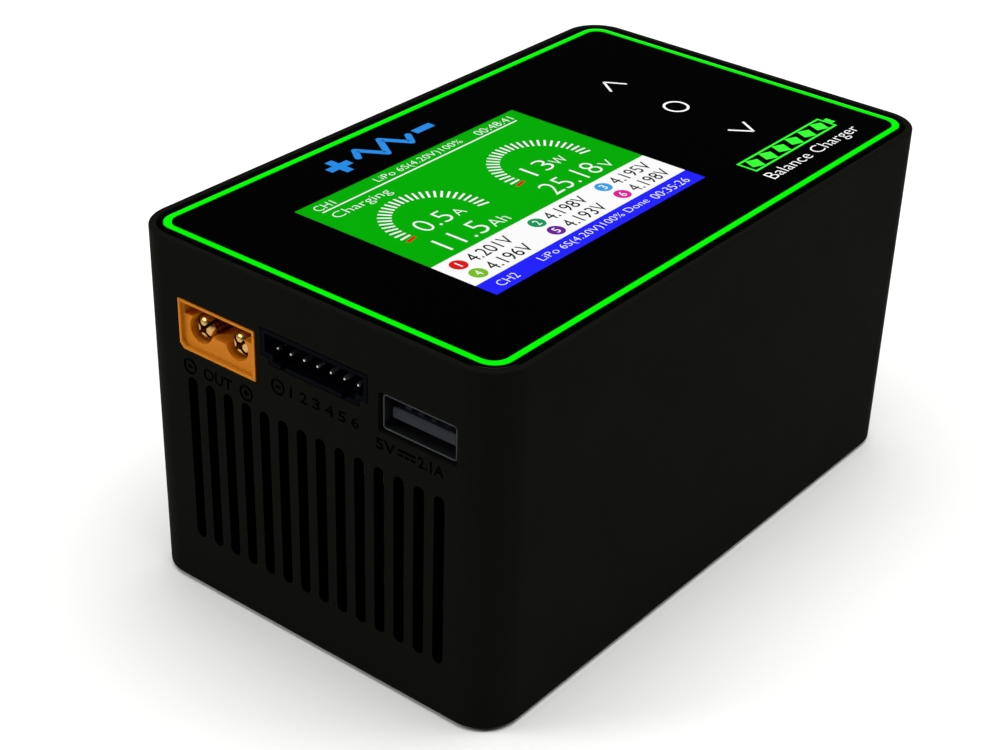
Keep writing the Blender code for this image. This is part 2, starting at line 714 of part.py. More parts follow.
def build_mains_inlet(housing_material, pin_material):
    mouth = HALF_LENGTH
    back = mouth - AC_DEPTH
    floor = mouth - AC_RECESS_DEPTH
    bm = bmesh.new()
    add_prism(bm, rounded_rectangle(*AC_SIZE, AC_CORNER, 3, AC_CENTRE), back, mouth, facing)
    housing = add_object("mains_inlet", bm, housing_material)
    bm = bmesh.new()
    recess = rounded_rectangle(*AC_RECESS, AC_RECESS[1] / 2 - 0.05, 8, AC_CENTRE)
    add_prism(bm, recess, floor, mouth + 1.0, facing)
    combine(housing, "inlet_recess", bm, "DIFFERENCE")
    bm = bmesh.new()
    for side in (-1, 1):
        pin_x = AC_CENTRE[0] + side * AC_PIN_PITCH / 2
        bore = arc((pin_x, AC_CENTRE[1]), AC_PIN_RADIUS + PIN_PLAY, 0, 330, 11)
        add_prism(bm, bore, back - 1.0, floor + 1.0, facing)
    combine(housing, "inlet_bores", bm, "DIFFERENCE")
    profile = (
        (0.0, -AC_DEPTH - 1.5),
        (AC_PIN_RADIUS, -AC_DEPTH - 1.5),
        (AC_PIN_RADIUS, -1.9),
        (AC_PIN_RADIUS - 0.5, -1.3),
        (0.0, -1.1),
    )
    for pin_name, side in (("mains_pin_left", -1), ("mains_pin_right", 1)):
        bm = bmesh.new()
        add_turned(bm, profile, 12, place=facing)
        at = (AC_CENTRE[0] + side * AC_PIN_PITCH / 2, mouth, AC_CENTRE[1])
        add_object(pin_name, bm, pin_material, at)


def build_boards(material):
    bm = bmesh.new()
    board_z = (MAIN_BOARD_Z, MAIN_BOARD_Z + MAIN_BOARD_THICKNESS)
    add_box(bm, (-MAIN_BOARD_X, MAIN_BOARD_X), MAIN_BOARD_Y, board_z)
    add_object("main_board", bm, material)
    bm = bmesh.new()
    board_z = (POWER_BOARD_Z, POWER_BOARD_Z + MAIN_BOARD_THICKNESS)
    add_box(bm, (-POWER_BOARD_X, POWER_BOARD_X), POWER_BOARD_Y, board_z)
    add_object("power_board", bm, material)


def build_heatsink(material):
    """Finned bar under the main board, its fins in line with the air flow."""
    top = MAIN_BOARD_Z - GAP
    base = top - HEATSINK_BASE
    left = -HEATSINK_PITCH * (HEATSINK_FINS - 1) / 2 - HEATSINK_FIN / 2
    outline = []
    for i in range(HEATSINK_FINS):
        near = left + HEATSINK_PITCH * i
        far = near + HEATSINK_FIN
        outline += [(near, base), (near, HEATSINK_LOW), (far, HEATSINK_LOW), (far, base)]
    outline = outline[1:-1] + [(-left, top), (left, top)]
    bm = bmesh.new()
    add_prism(bm, outline, *HEATSINK_Y, facing)
    add_object("heatsink", bm, material)


def build_transformer(core_material, winding_material):
    """Ferrite core with two windows, and a winding round its middle leg."""
    width, depth, height = TRANSFORMER_CORE
    low = POWER_BOARD_TOP + 1.0
    high = low + height
    window = (low + TRANSFORMER_YOKE, high - TRANSFORMER_YOKE)
    bm = bmesh.new()
    add_box(bm, (-width / 2, width / 2), (-depth / 2, depth / 2), (low, high))
    core = add_object("transformer_core", bm, core_material, TRANSFORMER_AT)
    bm = bmesh.new()
    leg = TRANSFORMER_LEG / 2
    for side in (-1, 1):
        window_x = sorted((side * leg, side * (width / 2 - leg)))
        add_box(bm, window_x, (-depth, depth), window)
    combine(core, "core_windows", bm, "DIFFERENCE")
    bm = bmesh.new()
    play = 0.4
    add_prism(bm, rounded_rectangle(*WINDING_SIZE, 4.0, 4), window[0] + play, window[1] - play)
    winding = add_object("transformer_winding", bm, winding_material, TRANSFORMER_AT)
    bm = bmesh.new()
    hole_x = (-leg - play, leg + play)
    hole_y = (-depth / 2 - play, depth / 2 + play)
    add_box(bm, hole_x, hole_y, (low, high))
    combine(winding, "winding_hole", bm, "DIFFERENCE")


def build_power_parts(can_material, coil_material, choke_material, buzzer_material):
    low = POWER_BOARD_TOP
    crimp = low + 2.2
    for name, x, y, radius, height in CAPACITORS:
        profile = (
            (0.0, low),
            (radius - 0.5, low),
            (radius, low + 0.5),
            (radius, crimp - 0.6),
            (radius - 0.5, crimp),
            (radius, crimp + 0.6),
            (radius, low + height - 0.6),
            (radius - 0.6, low + height),
            (0.0, low + height),
        )
        bm = bmesh.new()
        add_turned(bm, profile, 18)
        add_object(name, bm, can_material, (x, y, 0.0))

    # Ring chokes standing on edge, wound copper
    segments = 20
    for name, x, y, outer in FILTER_CHOKES:
        bm = bmesh.new()
        rings = []
        tube = outer * 0.3
        for i in range(segments):
            angle = 2 * math.pi * i / segments
            ring = []
            for u, v in arc((outer - tube, 0.0), tube, 0, 315, 7):
                spot = (u * math.cos(angle), v * 1.3, u * math.sin(angle))
                ring.append(bm.verts.new(spot))
            rings.append(ring)
        add_tube(bm, rings, closed=True)
        add_object(name, bm, coil_material, (x, y, POWER_BOARD_TOP + outer))

    # Moulded chokes and the buzzer hang under the main board
    top = MAIN_BOARD_Z - GAP
    for name, x, y in BOOST_CHOKES:
        bm = bmesh.new()
        outline = rounded_rectangle(BOOST_CHOKE_SIDE, BOOST_CHOKE_SIDE, 3.0, 3)
        add_prism(bm, outline, top - BOOST_CHOKE_HEIGHT, top)
        add_object(name, bm, choke_material, (x, y, 0.0))
    bm = bmesh.new()
    low = top - BUZZER_HEIGHT
    hole = 1.0
    hole_end = low + 1.5
    profile = (
        (0.0, top),
        (BUZZER_RADIUS, top),
        (BUZZER_RADIUS, low),
        (hole, low),
        (hole, hole_end),
        (0.0, hole_end),
    )
    add_turned(bm, profile, 18)
    add_object("buzzer", bm, buzzer_material, BUZZER_AT)


def build_fan(frame_material, rotor_material, lead_material):
    half = FAN_SIZE / 2
    front = -FAN_DEPTH / 2
    bm = bmesh.new()
    add_prism(bm, rounded_rectangle(FAN_SIZE, FAN_SIZE, 2.5, 3), front, -front, facing)
    frame = add_object("fan_frame", bm, frame_material, FAN_CENTRE)
    bm = bmesh.new()
    add_prism(bm, arc((0.0, 0.0), FAN_BORE, 0, 352.5, 47), front - 1.0, -front + 1.0, facing)
    combine(frame, "fan_bore", bm, "DIFFERENCE")

    # Motor seat on four arms, with the stator that the rotor turns round
    bm = bmesh.new()
    seat_top = front + 1.5
    stator = ((0.0, front), (7.8, front), (7.8, seat_top), (6.4, seat_top), (6.4, 1.5), (0.0, 1.5))
    add_turned(bm, stator, 24, place=facing)
    combine(frame, "fan_stator", bm, "UNION")
    bm = bmesh.new()
    arm = 1.2
    reach = half - 0.6
    cross = (
        (arm, arm), (arm, reach), (-arm, reach), (-arm, arm),
        (-reach, arm), (-reach, -arm), (-arm, -arm), (-arm, -reach),
        (arm, -reach), (arm, -arm), (reach, -arm), (reach, arm),
    )
    turned = [((u - v) * math.sqrt(0.5), (u + v) * math.sqrt(0.5)) for u, v in cross]
    add_prism(bm, turned, front + 0.1, seat_top - 0.2, facing)
    combine(frame, "fan_arms", bm, "UNION")
    bm = bmesh.new()
    add_prism(bm, arc((0.0, 0.0), 1.1, 0, 330, 11), front + 0.8, 3.0, facing)
    combine(frame, "fan_shaft_hole", bm, "DIFFERENCE")

    # Rotor: a cup over the stator, a shaft down its middle and the blades round it
    bm = bmesh.new()
    cup = (
        (0.0, front + 1.4),
        (1.0, front + 1.4),
        (1.0, 2.0),
        (6.9, 2.0),
        (6.9, seat_top + 0.5),
        (FAN_HUB, seat_top + 0.5),
        (FAN_HUB, 3.4),
        (FAN_HUB - 0.7, 4.1),
        (0.0, 4.1),
    )
    add_turned(bm, cup, 28, place=facing)
    rotor = add_object("fan_rotor", bm, rotor_material, FAN_CENTRE)
    bm = bmesh.new()
    half_blade = BLADE_THICKNESS / 2
    corners = ((0.5, half_blade), (-0.5, half_blade), (-0.5, -half_blade), (0.5, -half_blade))
    for blade in range(FAN_BLADES):
        rings = []
        for radius, sweep, chord, pitch in BLADE_STATIONS:
            turn = math.radians(360 * blade / FAN_BLADES + sweep)
            lean = math.radians(pitch)
            ring = []
            for along, across in corners:
                around = chord * along * math.cos(lean) - across * math.sin(lean)
                depth = chord * along * math.sin(lean) + across * math.cos(lean) + 0.6
                angle = turn + around / radius
                spot = (radius * math.cos(angle), depth, radius * math.sin(angle))
                ring.append(bm.verts.new(spot))
            rings.append(ring)
        add_tube(bm, rings)
    bmesh.ops.triangulate(bm, faces=bm.faces)
    combine(rotor, "fan_blades", bm, "UNION")

    # Two-core lead from the frame up to the main board
    lead = bpy.data.curves.new("fan_lead", "CURVE")
    lead.dimensions = "3D"
    lead.bevel_depth = 0.6 * MM
    lead.bevel_resolution = 1
    lead.use_fill_caps = True
    spline = lead.splines.new("POLY")
    steps = 16
    start = Vector((-2.0, FAN_CENTRE.y - 2.0, FAN_CENTRE.z + half + 0.9))
    stop = Vector((-2.0, MAIN_BOARD_Y[1] - 4.0, MAIN_BOARD_Z - 0.9))
    spline.points.add(steps)
    for i, point in enumerate(spline.points):
        t = i / steps
        ease = t * t * (3 - 2 * t)
        y = start.y + (stop.y - start.y) * t
        z = start.z + (stop.z - start.z) * ease
        point.co = (start.x * MM, y * MM, z * MM, 1.0)
    lead.materials.append(lead_material)
    bpy.context.scene.collection.objects.link(bpy.data.objects.new("fan_lead", lead))


def main():
    clear_scene()
    case_black = make_material("case_plastic", (0.0065, 0.0070, 0.0065), 0.62)
    panel_black = make_material("panel_gloss", (0.001, 0.001, 0.001), 0.08)
    ring_green = make_material("ring_light", (0.0, 1.0, 0.02), 0.35, glow=1.0)
    screen_dark = make_material("screen_glass", (0.01, 0.25, 0.01), 0.1)
    tray_steel = make_material("sheet_steel", (0.45, 0.46, 0.48), 0.35, 1.0)
    board_green = make_material("circuit_board", (0.01, 0.09, 0.03), 0.4)
    gold = make_material("gold_plate", (0.83, 0.58, 0.24), 0.25, 1.0)
    amber = make_material("amber_nylon", (0.58, 0.22, 0.025), 0.4)
    header_black = make_material("header_plastic", (0.004, 0.005, 0.010), 0.5)
    tin = make_material("tin_plate", (0.75, 0.76, 0.78), 0.25, 1.0)
    tongue_grey = make_material("tongue_plastic", (0.16, 0.18, 0.24), 0.45)
    inlet_black = make_material("inlet_plastic", (0.012, 0.012, 0.013), 0.45)
    rubber = make_material("foot_rubber", (0.012, 0.012, 0.012), 0.85)
    screw_black = make_material("screw_steel", (0.05, 0.05, 0.055), 0.4, 1.0)
    aluminium = make_material("fin_aluminium", (0.62, 0.63, 0.65), 0.4, 1.0)
    ferrite = make_material("ferrite", (0.03, 0.03, 0.032), 0.7)
    tape = make_material("winding_tape", (0.65, 0.42, 0.03), 0.5)
    copper = make_material("enamelled_copper", (0.55, 0.16, 0.05), 0.3, 1.0)
    sleeve = make_material("capacitor_sleeve", (0.01, 0.012, 0.02), 0.3)
    fan_black = make_material("fan_plastic", (0.01, 0.01, 0.011), 0.5)
    lead_red = make_material("lead_vinyl", (0.35, 0.01, 0.01), 0.5)

    build_case(case_black)
    build_bottom_cover(case_black)
    build_screws_and_feet(screw_black, rubber)
    build_top(panel_black, ring_green, screen_dark, tray_steel, board_green)
    build_touch_springs(tin)
    output_pins = ("output_pin_minus", "output_pin_plus")
    build_power_socket("output_socket", output_pins, OUTPUT_CENTRE, -1, amber, gold)
    input_pins = ("dc_input_pin_minus", "dc_input_pin_plus")
    build_power_socket("dc_input_socket", input_pins, DC_INPUT_CENTRE, 1, amber, gold)
    build_balance_socket(header_black, tin)
    build_usb_socket(tray_steel, tongue_grey, tin)
    build_mains_inlet(inlet_black, tin)
    build_boards(board_green)
    build_heatsink(aluminium)
    build_transformer(ferrite, tape)
    build_power_parts(sleeve, copper, ferrite, fan_black)
    build_fan(fan_black, fan_black, lead_red)


main()
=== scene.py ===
import math

import bmesh
import bpy
from mathutils import Matrix, Vector


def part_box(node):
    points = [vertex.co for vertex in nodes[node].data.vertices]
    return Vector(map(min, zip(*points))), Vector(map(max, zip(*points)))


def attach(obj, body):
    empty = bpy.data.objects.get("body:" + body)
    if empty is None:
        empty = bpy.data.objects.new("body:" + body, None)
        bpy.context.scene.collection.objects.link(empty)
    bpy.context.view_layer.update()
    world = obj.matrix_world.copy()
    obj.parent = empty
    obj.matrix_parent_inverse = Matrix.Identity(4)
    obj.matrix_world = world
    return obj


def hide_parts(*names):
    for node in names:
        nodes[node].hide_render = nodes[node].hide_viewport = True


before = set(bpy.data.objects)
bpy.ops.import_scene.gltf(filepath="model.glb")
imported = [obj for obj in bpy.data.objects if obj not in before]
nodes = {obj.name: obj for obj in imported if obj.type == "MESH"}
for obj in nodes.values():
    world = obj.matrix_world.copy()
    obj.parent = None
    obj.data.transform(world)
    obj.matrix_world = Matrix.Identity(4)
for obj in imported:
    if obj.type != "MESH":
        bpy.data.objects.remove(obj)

# Balance battery charger. Shapes are drawn in millimetres and scaled once, when a piece is finished.
scene = bpy.context.scene
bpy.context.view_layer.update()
fourCorners = ((1, 1), (-1, 1), (-1, -1), (1, -1))


def boxOf(name):
    # lowest and highest corner of a CAD node, in millimetres
    low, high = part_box(name)
    return Vector(low) * 1000, Vector(high) * 1000


def placeOf(name):
    # the same two corners, the node's middle and half its width
    low, high = boxOf(name)
    return low, high, (low + high) / 2, (high.x - low.x) / 2


# materials: small helpers

def toLinear(code):
    # sRGB hex to linear red, green, blue, with alpha 1
    parts = [int(code[i:i + 2], 16) / 255 for i in (1, 3, 5)]
    return [p / 12.92 if p <= 0.04045 else ((p + 0.055) / 1.055) ** 2.4 for p in parts] + [1.0]


def addNode(tree, kind, settings=None, links=None):
    # settings are the node's properties or its sockets' values, links are socket: output
    node = tree.nodes.new(kind)
    for name, value in (settings or {}).items():
        if isinstance(name, int) or name in node.inputs:
            node.inputs[name].default_value = value
        else:
            setattr(node, name, value)
    for name, source in (links or {}).items():
        tree.links.new(source, node.inputs[name])
    return node


def newMaterial(name, colour, roughness, metallic=0.0, sockets=None):
    made = bpy.data.materials.new(name)
    made.use_nodes = True
    shader = made.node_tree.nodes["Principled BSDF"]
    shader.inputs["Base Color"].default_value = toLinear(colour)
    shader.inputs["Roughness"].default_value = roughness
    shader.inputs["Metallic"].default_value = metallic
    for socket, value in (sockets or {}).items():
        shader.inputs[socket].default_value = value
    made.diffuse_color = toLinear(colour)
    return made


def addGrain(material, spacing, relief, colours, gloss, stretch=(1.0, 1.0, 1.0)):
    # spacing and relief in millimetres; colours are its two tones; gloss is the roughness range;
    # stretch draws the grain out along an axis, as brushing or winding does
    tree = material.node_tree
    shader = tree.nodes["Principled BSDF"]
    place = addNode(tree, "ShaderNodeTexCoord")
    drawn = addNode(tree, "ShaderNodeMapping", {"Scale": stretch}, {"Vector": place.outputs["Object"]})
    along = {"Vector": drawn.outputs[0]}
    noise = addNode(tree, "ShaderNodeTexNoise", {"Scale": 1000 / spacing, "Detail": 2.0}, along)
    cloud = addNode(tree, "ShaderNodeTexNoise", {"Scale": 1000 / (spacing * 40), "Detail": 3.0}, along)
    tone = addNode(tree, "ShaderNodeMix",
                   {"data_type": "RGBA", 6: toLinear(colours[0]), 7: toLinear(colours[1])},
                   {0: noise.outputs["Fac"]})
    tree.links.new(tone.outputs[2], shader.inputs["Base Color"])
    dull = addNode(tree, "ShaderNodeMapRange",
                   {"From Min": 0.3, "From Max": 0.7, "To Min": gloss[0], "To Max": gloss[1]},
                   {"Value": cloud.outputs["Fac"]})
    tree.links.new(dull.outputs[0], shader.inputs["Roughness"])
    if relief:
        bump = addNode(tree, "ShaderNodeBump", {"Strength": 1.0, "Distance": relief / 1000},
                       {"Height": noise.outputs["Fac"]})
        tree.links.new(bump.outputs[0], shader.inputs["Normal"])
    return material


def litMaterial(name, colour):
    # one colour of light under hard-coated glass, even to a few per cent
    made = newMaterial(name, "#020202", 0.08, 0.0, {"Emission Strength": 1.0})
    tree = made.node_tree
    place = addNode(tree, "ShaderNodeTexCoord")
    uneven = addNode(tree, "ShaderNodeTexNoise", {"Scale": 1000 / 30, "Detail": 1.0},
                     {"Vector": place.outputs["Object"]})
    full = toLinear(colour)
    low = [part * 0.93 for part in full[:3]] + [1.0]
    tone = addNode(tree, "ShaderNodeMix", {"data_type": "RGBA", 6: low, 7: full}, {0: uneven.outputs["Fac"]})
    tree.links.new(tone.outputs[2], tree.nodes["Principled BSDF"].inputs["Emission Color"])
    return made


# shapes: small helpers

def flat(u, v, w):
    return (u, v, w)  # outline in XY, drawn up Z


def facing(u, v, w):
    return (u, w, v)  # outline in XZ, drawn along Y


def sideways(u, v, w):
    return (w, u, v)  # outline in YZ, drawn along X


def arcPoints(centre, radius, start, stop, steps):
    points = []
    for step in range(steps + 1):
        angle = math.radians(start + (stop - start) * step / steps)
        points.append((centre[0] + radius * math.cos(angle), centre[1] + radius * math.sin(angle)))
    return points


def circle(centre, radius, steps):
    return arcPoints(centre, radius, 0, 360 - 360 / steps, steps - 1)


def plusOutline(arm, reach):
    return ((arm, arm), (arm, reach), (-arm, reach), (-arm, arm), (-reach, arm), (-reach, -arm),
            (-arm, -arm), (-arm, -reach), (arm, -reach), (arm, -arm), (reach, -arm), (reach, arm))


def roundedOutline(low, high, radius, steps=8):
    points = []
    for turn, (sx, sy) in enumerate(fourCorners):
        corner = ((high[0] if sx > 0 else low[0]) - sx * radius,
                  (high[1] if sy > 0 else low[1]) - sy * radius)
        points += arcPoints(corner, radius, 90 * turn, 90 * turn + 90, steps)
    return points


def prism(bm, outline, low, high, place=flat):
    ends = [[bm.verts.new(place(u, v, w)) for u, v in outline] for w in (low, high)]
    count = len(outline)
    faces = [bm.faces.new(ends[0][::-1]), bm.faces.new(ends[1])]
    for i in range(count):
        j = (i + 1) % count
        faces.append(bm.faces.new((ends[0][i], ends[0][j], ends[1][j], ends[1][i])))
    return faces


def block(bm, x, y, z):
    return prism(bm, ((x[0], y[0]), (x[1], y[0]), (x[1], y[1]), (x[0], y[1])), z[0], z[1])


def skin(bm, rings, closed=False):
    # joins a row of equal rings of points; an open row gets its two ends
    rings = [[bm.verts.new(point) for point in ring] for ring in rings]
    count = len(rings[0])
    pairs = list(zip(rings, rings[1:]))
    if closed:
        pairs.append((rings[-1], rings[0]))
    else:
        bm.faces.new(rings[0])
        bm.faces.new(rings[-1])
    for low, high in pairs:
        for i in range(count):
            j = (i + 1) % count
            bm.faces.new((low[i], low[j], high[j], high[i]))


def turned(bm, profile, segments, centre=(0.0, 0.0, 0.0), place=flat):
    # turns an open profile of (radius, height) that starts and ends on the axis
    rings = []
    for radius, height in profile:
        points = circle((0, 0), radius, segments) if radius else [(0.0, 0.0)]
        rings.append([bm.verts.new(Vector(place(u, v, height)) + Vector(centre)) for u, v in points])
    for low, high in zip(rings, rings[1:]):
        for i in range(segments):
            j = (i + 1) % segments
            corners = [low[i % len(low)], low[j % len(low)], high[j % len(high)], high[i % len(high)]]
            bm.faces.new(list(dict.fromkeys(corners)))


def meshOf(draw, *values):
    # a mesh with only one shape in it
    bm = bmesh.new()
    draw(bm, *values)
    return bm


def newPiece(name, bm, *materials):
    bmesh.ops.recalc_face_normals(bm, faces=bm.faces)
    mesh = bpy.data.meshes.new(name)
    bm.to_mesh(mesh)
    bm.free()
    for material in materials:
        mesh.materials.append(material)
    piece = bpy.data.objects.new(name, mesh)
    scene.collection.objects.link(piece)
    return piece


def takenMesh(piece):
    # the piece's mesh on its own; the piece is dropped
    bm = bmesh.new()
    bm.from_mesh(piece.data)
    bpy.data.objects.remove(piece)
    return bm


def settle(piece):
    # turns the piece's modifiers into plain mesh
    bpy.context.view_layer.update()
    mesh = bpy.data.meshes.new_from_object(piece.evaluated_get(bpy.context.evaluated_depsgraph_get()))
    piece.modifiers.clear()
    piece.data = mesh


def carve(piece, bm, material=None, operation="DIFFERENCE"):
    cutter = newPiece(piece.name + "_cutter", bm, *([material] if material else []))
    modifier = piece.modifiers.new("carve", "BOOLEAN")
    modifier.operation = operation
    modifier.solver = "EXACT"
    modifier.material_mode = "TRANSFER" if material else "INDEX"
    modifier.object = cutter
    settle(piece)
    bpy.data.objects.remove(cutter)


def roundEdges(piece, width, segments=2, limit=35):
    bevel = piece.modifiers.new("edges", "BEVEL")
    bevel.width = width
    bevel.segments = segments
    bevel.limit_method = "ANGLE"
    bevel.angle_limit = math.radians(limit)
    bevel.use_clamp_overlap = True
    bevel.miter_outer = "MITER_ARC"
    settle(piece)


def smooth(piece, limit=34):
    piece.data.shade_smooth()
    piece.data.set_sharp_from_angle(angle=math.radians(limit))
    weighted = piece.modifiers.new("normals", "WEIGHTED_NORMAL")
    weighted.keep_sharp = True
    settle(piece)


def finishPiece(piece, replaced=(), body="root", limit=34):
    smooth(piece, limit)
    piece.data.transform(Matrix.Scale(0.001, 4))
    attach(piece, body)
    if replaced:
        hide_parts(*replaced)


# geometry node trees for what repeats

def newTree(name, inputs):
    tree = bpy.data.node_groups.new(name, "GeometryNodeTree")
    tree.interface.new_socket("Geometry", in_out="INPUT", socket_type="NodeSocketGeometry")
    for label, kind in inputs.items():
        tree.interface.new_socket(label, in_out="INPUT", socket_type="NodeSocket" + kind)
    tree.interface.new_socket("Material", in_out="INPUT", socket_type="NodeSocketMaterial")
    tree.interface.new_socket("Geometry", in_out="OUTPUT", socket_type="NodeSocketGeometry")
    return tree, addNode(tree, "NodeGroupInput").outputs


def closeTree(tree, instances, given):
    real = addNode(tree, "GeometryNodeRealizeInstances", {}, {0: instances})
    painted = addNode(tree, "GeometryNodeSetMaterial", {},
                      {"Geometry": real.outputs[0], "Material": given["Material"]})
    addNode(tree, "NodeGroupOutput", {}, {0: painted.outputs[0]})
    return tree


def rowTree():
    # copies of a piece in a straight row
    tree, given = newTree("copiesInARow", {"Count": "Int", "Step": "Vector"})
    line = addNode(tree, "GeometryNodeMeshLine", {}, {"Count": given["Count"], "Offset": given["Step"]})
    copies = addNode(tree, "GeometryNodeInstanceOnPoints", {},
                     {"Points": line.outputs[0], "Instance": given["Geometry"]})
    return closeTree(tree, copies.outputs[0], given)


def turnTree():
    # copies of a piece turned about an axis through Centre, by Turn radians from one to the next
    tree, given = newTree("copiesRoundAnAxis",
                          {"Count": "Int", "Centre": "Vector", "Axis": "Vector", "Turn": "Float"})
    still = addNode(tree, "ShaderNodeCombineXYZ")
    line = addNode(tree, "GeometryNodeMeshLine", {},
                   {"Count": given["Count"], "Start Location": given["Centre"], "Offset": still.outputs[0]})
    number = addNode(tree, "GeometryNodeInputIndex")
    angle = addNode(tree, "ShaderNodeMath", {"operation": "MULTIPLY"},
                    {0: number.outputs[0], 1: given["Turn"]})
    spin = addNode(tree, "FunctionNodeAxisAngleToRotation", {},
                   {"Axis": given["Axis"], "Angle": angle.outputs[0]})
    copies = addNode(tree, "GeometryNodeInstanceOnPoints", {},
                     {"Points": line.outputs[0], "Instance": given["Geometry"], "Rotation": spin.outputs[0]})
    return closeTree(tree, copies.outputs[0], given)


def cornerTree():
    # copies of a piece at the four corners of a rectangle
    tree, given = newTree("copiesAtCorners", {"Length": "Float", "Width": "Float"})
    grid = addNode(tree, "GeometryNodeMeshGrid", {"Vertices X": 2, "Vertices Y": 2},
                   {"Size X": given["Width"], "Size Y": given["Length"]})
    copies = addNode(tree, "GeometryNodeInstanceOnPoints", {},
                     {"Points": grid.outputs[0], "Instance": given["Geometry"]})
    return closeTree(tree, copies.outputs[0], given)


def grow(piece, tree, values, material):
    modifier = piece.modifiers.new(tree.name, "NODES")
    modifier.node_group = tree
    for label, value in {**values, "Material": material}.items():
        modifier[tree.interface.items_tree[label].identifier] = value
    settle(piece)


inARow = rowTree()
roundAnAxis = turnTree()
atCorners = cornerTree()
print("helpers and node trees ready")

# materials of this charger

# ABS case, moulded in a spark-eroded tool: matt black with a fine even grain of soft sparks of light
sparkGrainAbs = newMaterial("sparkGrainAbs", "#0F100D", 0.6, 0.0, {"Specular IOR Level": 0.004, "IOR": 1.53})
addGrain(sparkGrainAbs, 0.3, 0.03, ("#0C0D0A", "#131310"), (0.52, 0.6))  # real grain about 0.1 mm
# the letters' floors in the tool are polished finer, so they are a little glossier than the skin round them;
# their near black colour is painted shade, standing in for the shade inside the cut letters
shadedLegendAbs = newMaterial("shadedLegendAbs", "#010101", 0.5, 0.0, {"Specular IOR Level": 0.01})
addGrain(shadedLegendAbs, 0.2, 0.004, ("#000000", "#020202"), (0.4, 0.55))
# hard-coated acrylic lens, screen-printed black underneath: deep black and mirror smooth, faint hairlines
printedLens = newMaterial("printedLens", "#010101", 0.06, 0.0, {"Specular IOR Level": 0.12, "IOR": 1.49})
addGrain(printedLens, 0.6, 0.0, ("#000000", "#010101"), (0.04, 0.09), (1.0, 8.0, 1.0))
# milky polycarbonate light guide, lit from below by green LEDs
lightGuide = litMaterial("lightGuide", "#00FF00")
# inks on top of the lens, thick enough to feel
whiteInk = addGrain(newMaterial("whiteInk", "#F2F2F2", 0.4), 0.25, 0.0, ("#E6E6E6", "#FBFBFB"), (0.35, 0.5))
blueInk = addGrain(newMaterial("blueInk", "#0C78CC", 0.4), 0.25, 0.0, ("#0A74C6", "#0F7CD0"), (0.35, 0.5))
greenInk = addGrain(newMaterial("greenInk", "#1EE61E", 0.4), 0.25, 0.0, ("#16DC16", "#28F028"), (0.35, 0.5))
# glass-filled nylon of high-current plugs: warm amber, slightly translucent, fibres just show
amberNylon = newMaterial("amberNylon", "#C27412", 0.5, 0.0,
                         {"Specular IOR Level": 0.06, "Subsurface Weight": 0.5,
                          "Subsurface Scale": 0.002, "Subsurface Radius": (1.0, 0.4, 0.1)})
addGrain(amberNylon, 0.35, 0.006, ("#B86C0E", "#CC7C18"), (0.42, 0.55))
# gold flash over nickel on turned brass: warm, with fine turning rings
goldFlash = newMaterial("goldFlash", "#C49A58", 0.24, 1.0)
addGrain(goldFlash, 0.12, 0.003, ("#B48A48", "#D4AC6C"), (0.18, 0.3), (1.0, 6.0, 1.0))
# heat-stable polyamide header: near black with a blue cast, semi-matt
headerNylon = newMaterial("headerNylon", "#04050A", 0.5, 0.0, {"Specular IOR Level": 0.01})
addGrain(headerNylon, 0.3, 0.005, ("#020307", "#05060D"), (0.42, 0.55))
# matt tin plate on square brass pins: pale grey with soft mottling
tinPlate = newMaterial("tinPlate", "#C4C6C8", 0.28, 1.0)
addGrain(tinPlate, 0.4, 0.003, ("#B2B5B8", "#D4D6D8"), (0.2, 0.36))
# nickel-plated steel sheet, bent and stamped: cool grey, drawn lines along the bend
nickelSheet = newMaterial("nickelSheet", "#3A3C3E", 0.5, 1.0)
addGrain(nickelSheet, 0.1, 0.002, ("#303234", "#46484B"), (0.44, 0.58), (0.2, 1.0, 4.0))
# PBT tongue of the USB port: smoky blue grey
tonguePbt = newMaterial("tonguePbt", "#181C24", 0.5, 0.0, {"Specular IOR Level": 0.2})
addGrain(tonguePbt, 0.3, 0.004, ("#14171E", "#1C212A"), (0.42, 0.55))
# phenolic-grade polyamide of the mains inlet: plain black, semi-matt
inletNylon = newMaterial("inletNylon", "#101012", 0.45, 0.0, {"Specular IOR Level": 0.08})
addGrain(inletNylon, 0.3, 0.006, ("#0D0D0F", "#151517"), (0.38, 0.5))
# moulded rubber foot: very dull, dusty
footRubber = newMaterial("footRubber", "#161616", 0.85, 0.0, {"Specular IOR Level": 0.3})
addGrain(footRubber, 0.3, 0.02, ("#121212", "#1E1E1D"), (0.75, 0.95))
# black zinc over steel screws: dark grey metal with a soft brighter mottle
blackZinc = newMaterial("blackZinc", "#3A3A3D", 0.38, 1.0)
addGrain(blackZinc, 0.2, 0.004, ("#303033", "#4A4A4D"), (0.3, 0.48))
# extruded aluminium fins, mill finish: light grey with drawn lines along Y
millAluminium = newMaterial("millAluminium", "#B4B6B9", 0.38, 1.0)
addGrain(millAluminium, 0.15, 0.004, ("#A6A8AB", "#C2C4C7"), (0.3, 0.46), (1.0, 0.05, 1.0))
# sintered ferrite: dull charcoal with pores
sinteredFerrite = newMaterial("sinteredFerrite", "#2C2C2E", 0.7)
addGrain(sinteredFerrite, 0.3, 0.02, ("#232325", "#38383A"), (0.6, 0.8))
# polyester tape wound in layers: yellow, with the tape's edges showing every few millimetres
windingTape = newMaterial("windingTape", "#9C7614", 0.42)
addGrain(windingTape, 1.2, 0.02, ("#8E6A0E", "#A8821E"), (0.35, 0.5), (0.1, 0.1, 1.0))
# enamelled copper wire: warm red-brown metal under clear enamel
enamelledCopper = newMaterial("enamelledCopper", "#B4602E", 0.24, 1.0,
                              {"Coat Weight": 0.6, "Coat Roughness": 0.1})
addGrain(enamelledCopper, 0.5, 0.003, ("#A65424", "#C4703C"), (0.2, 0.3))
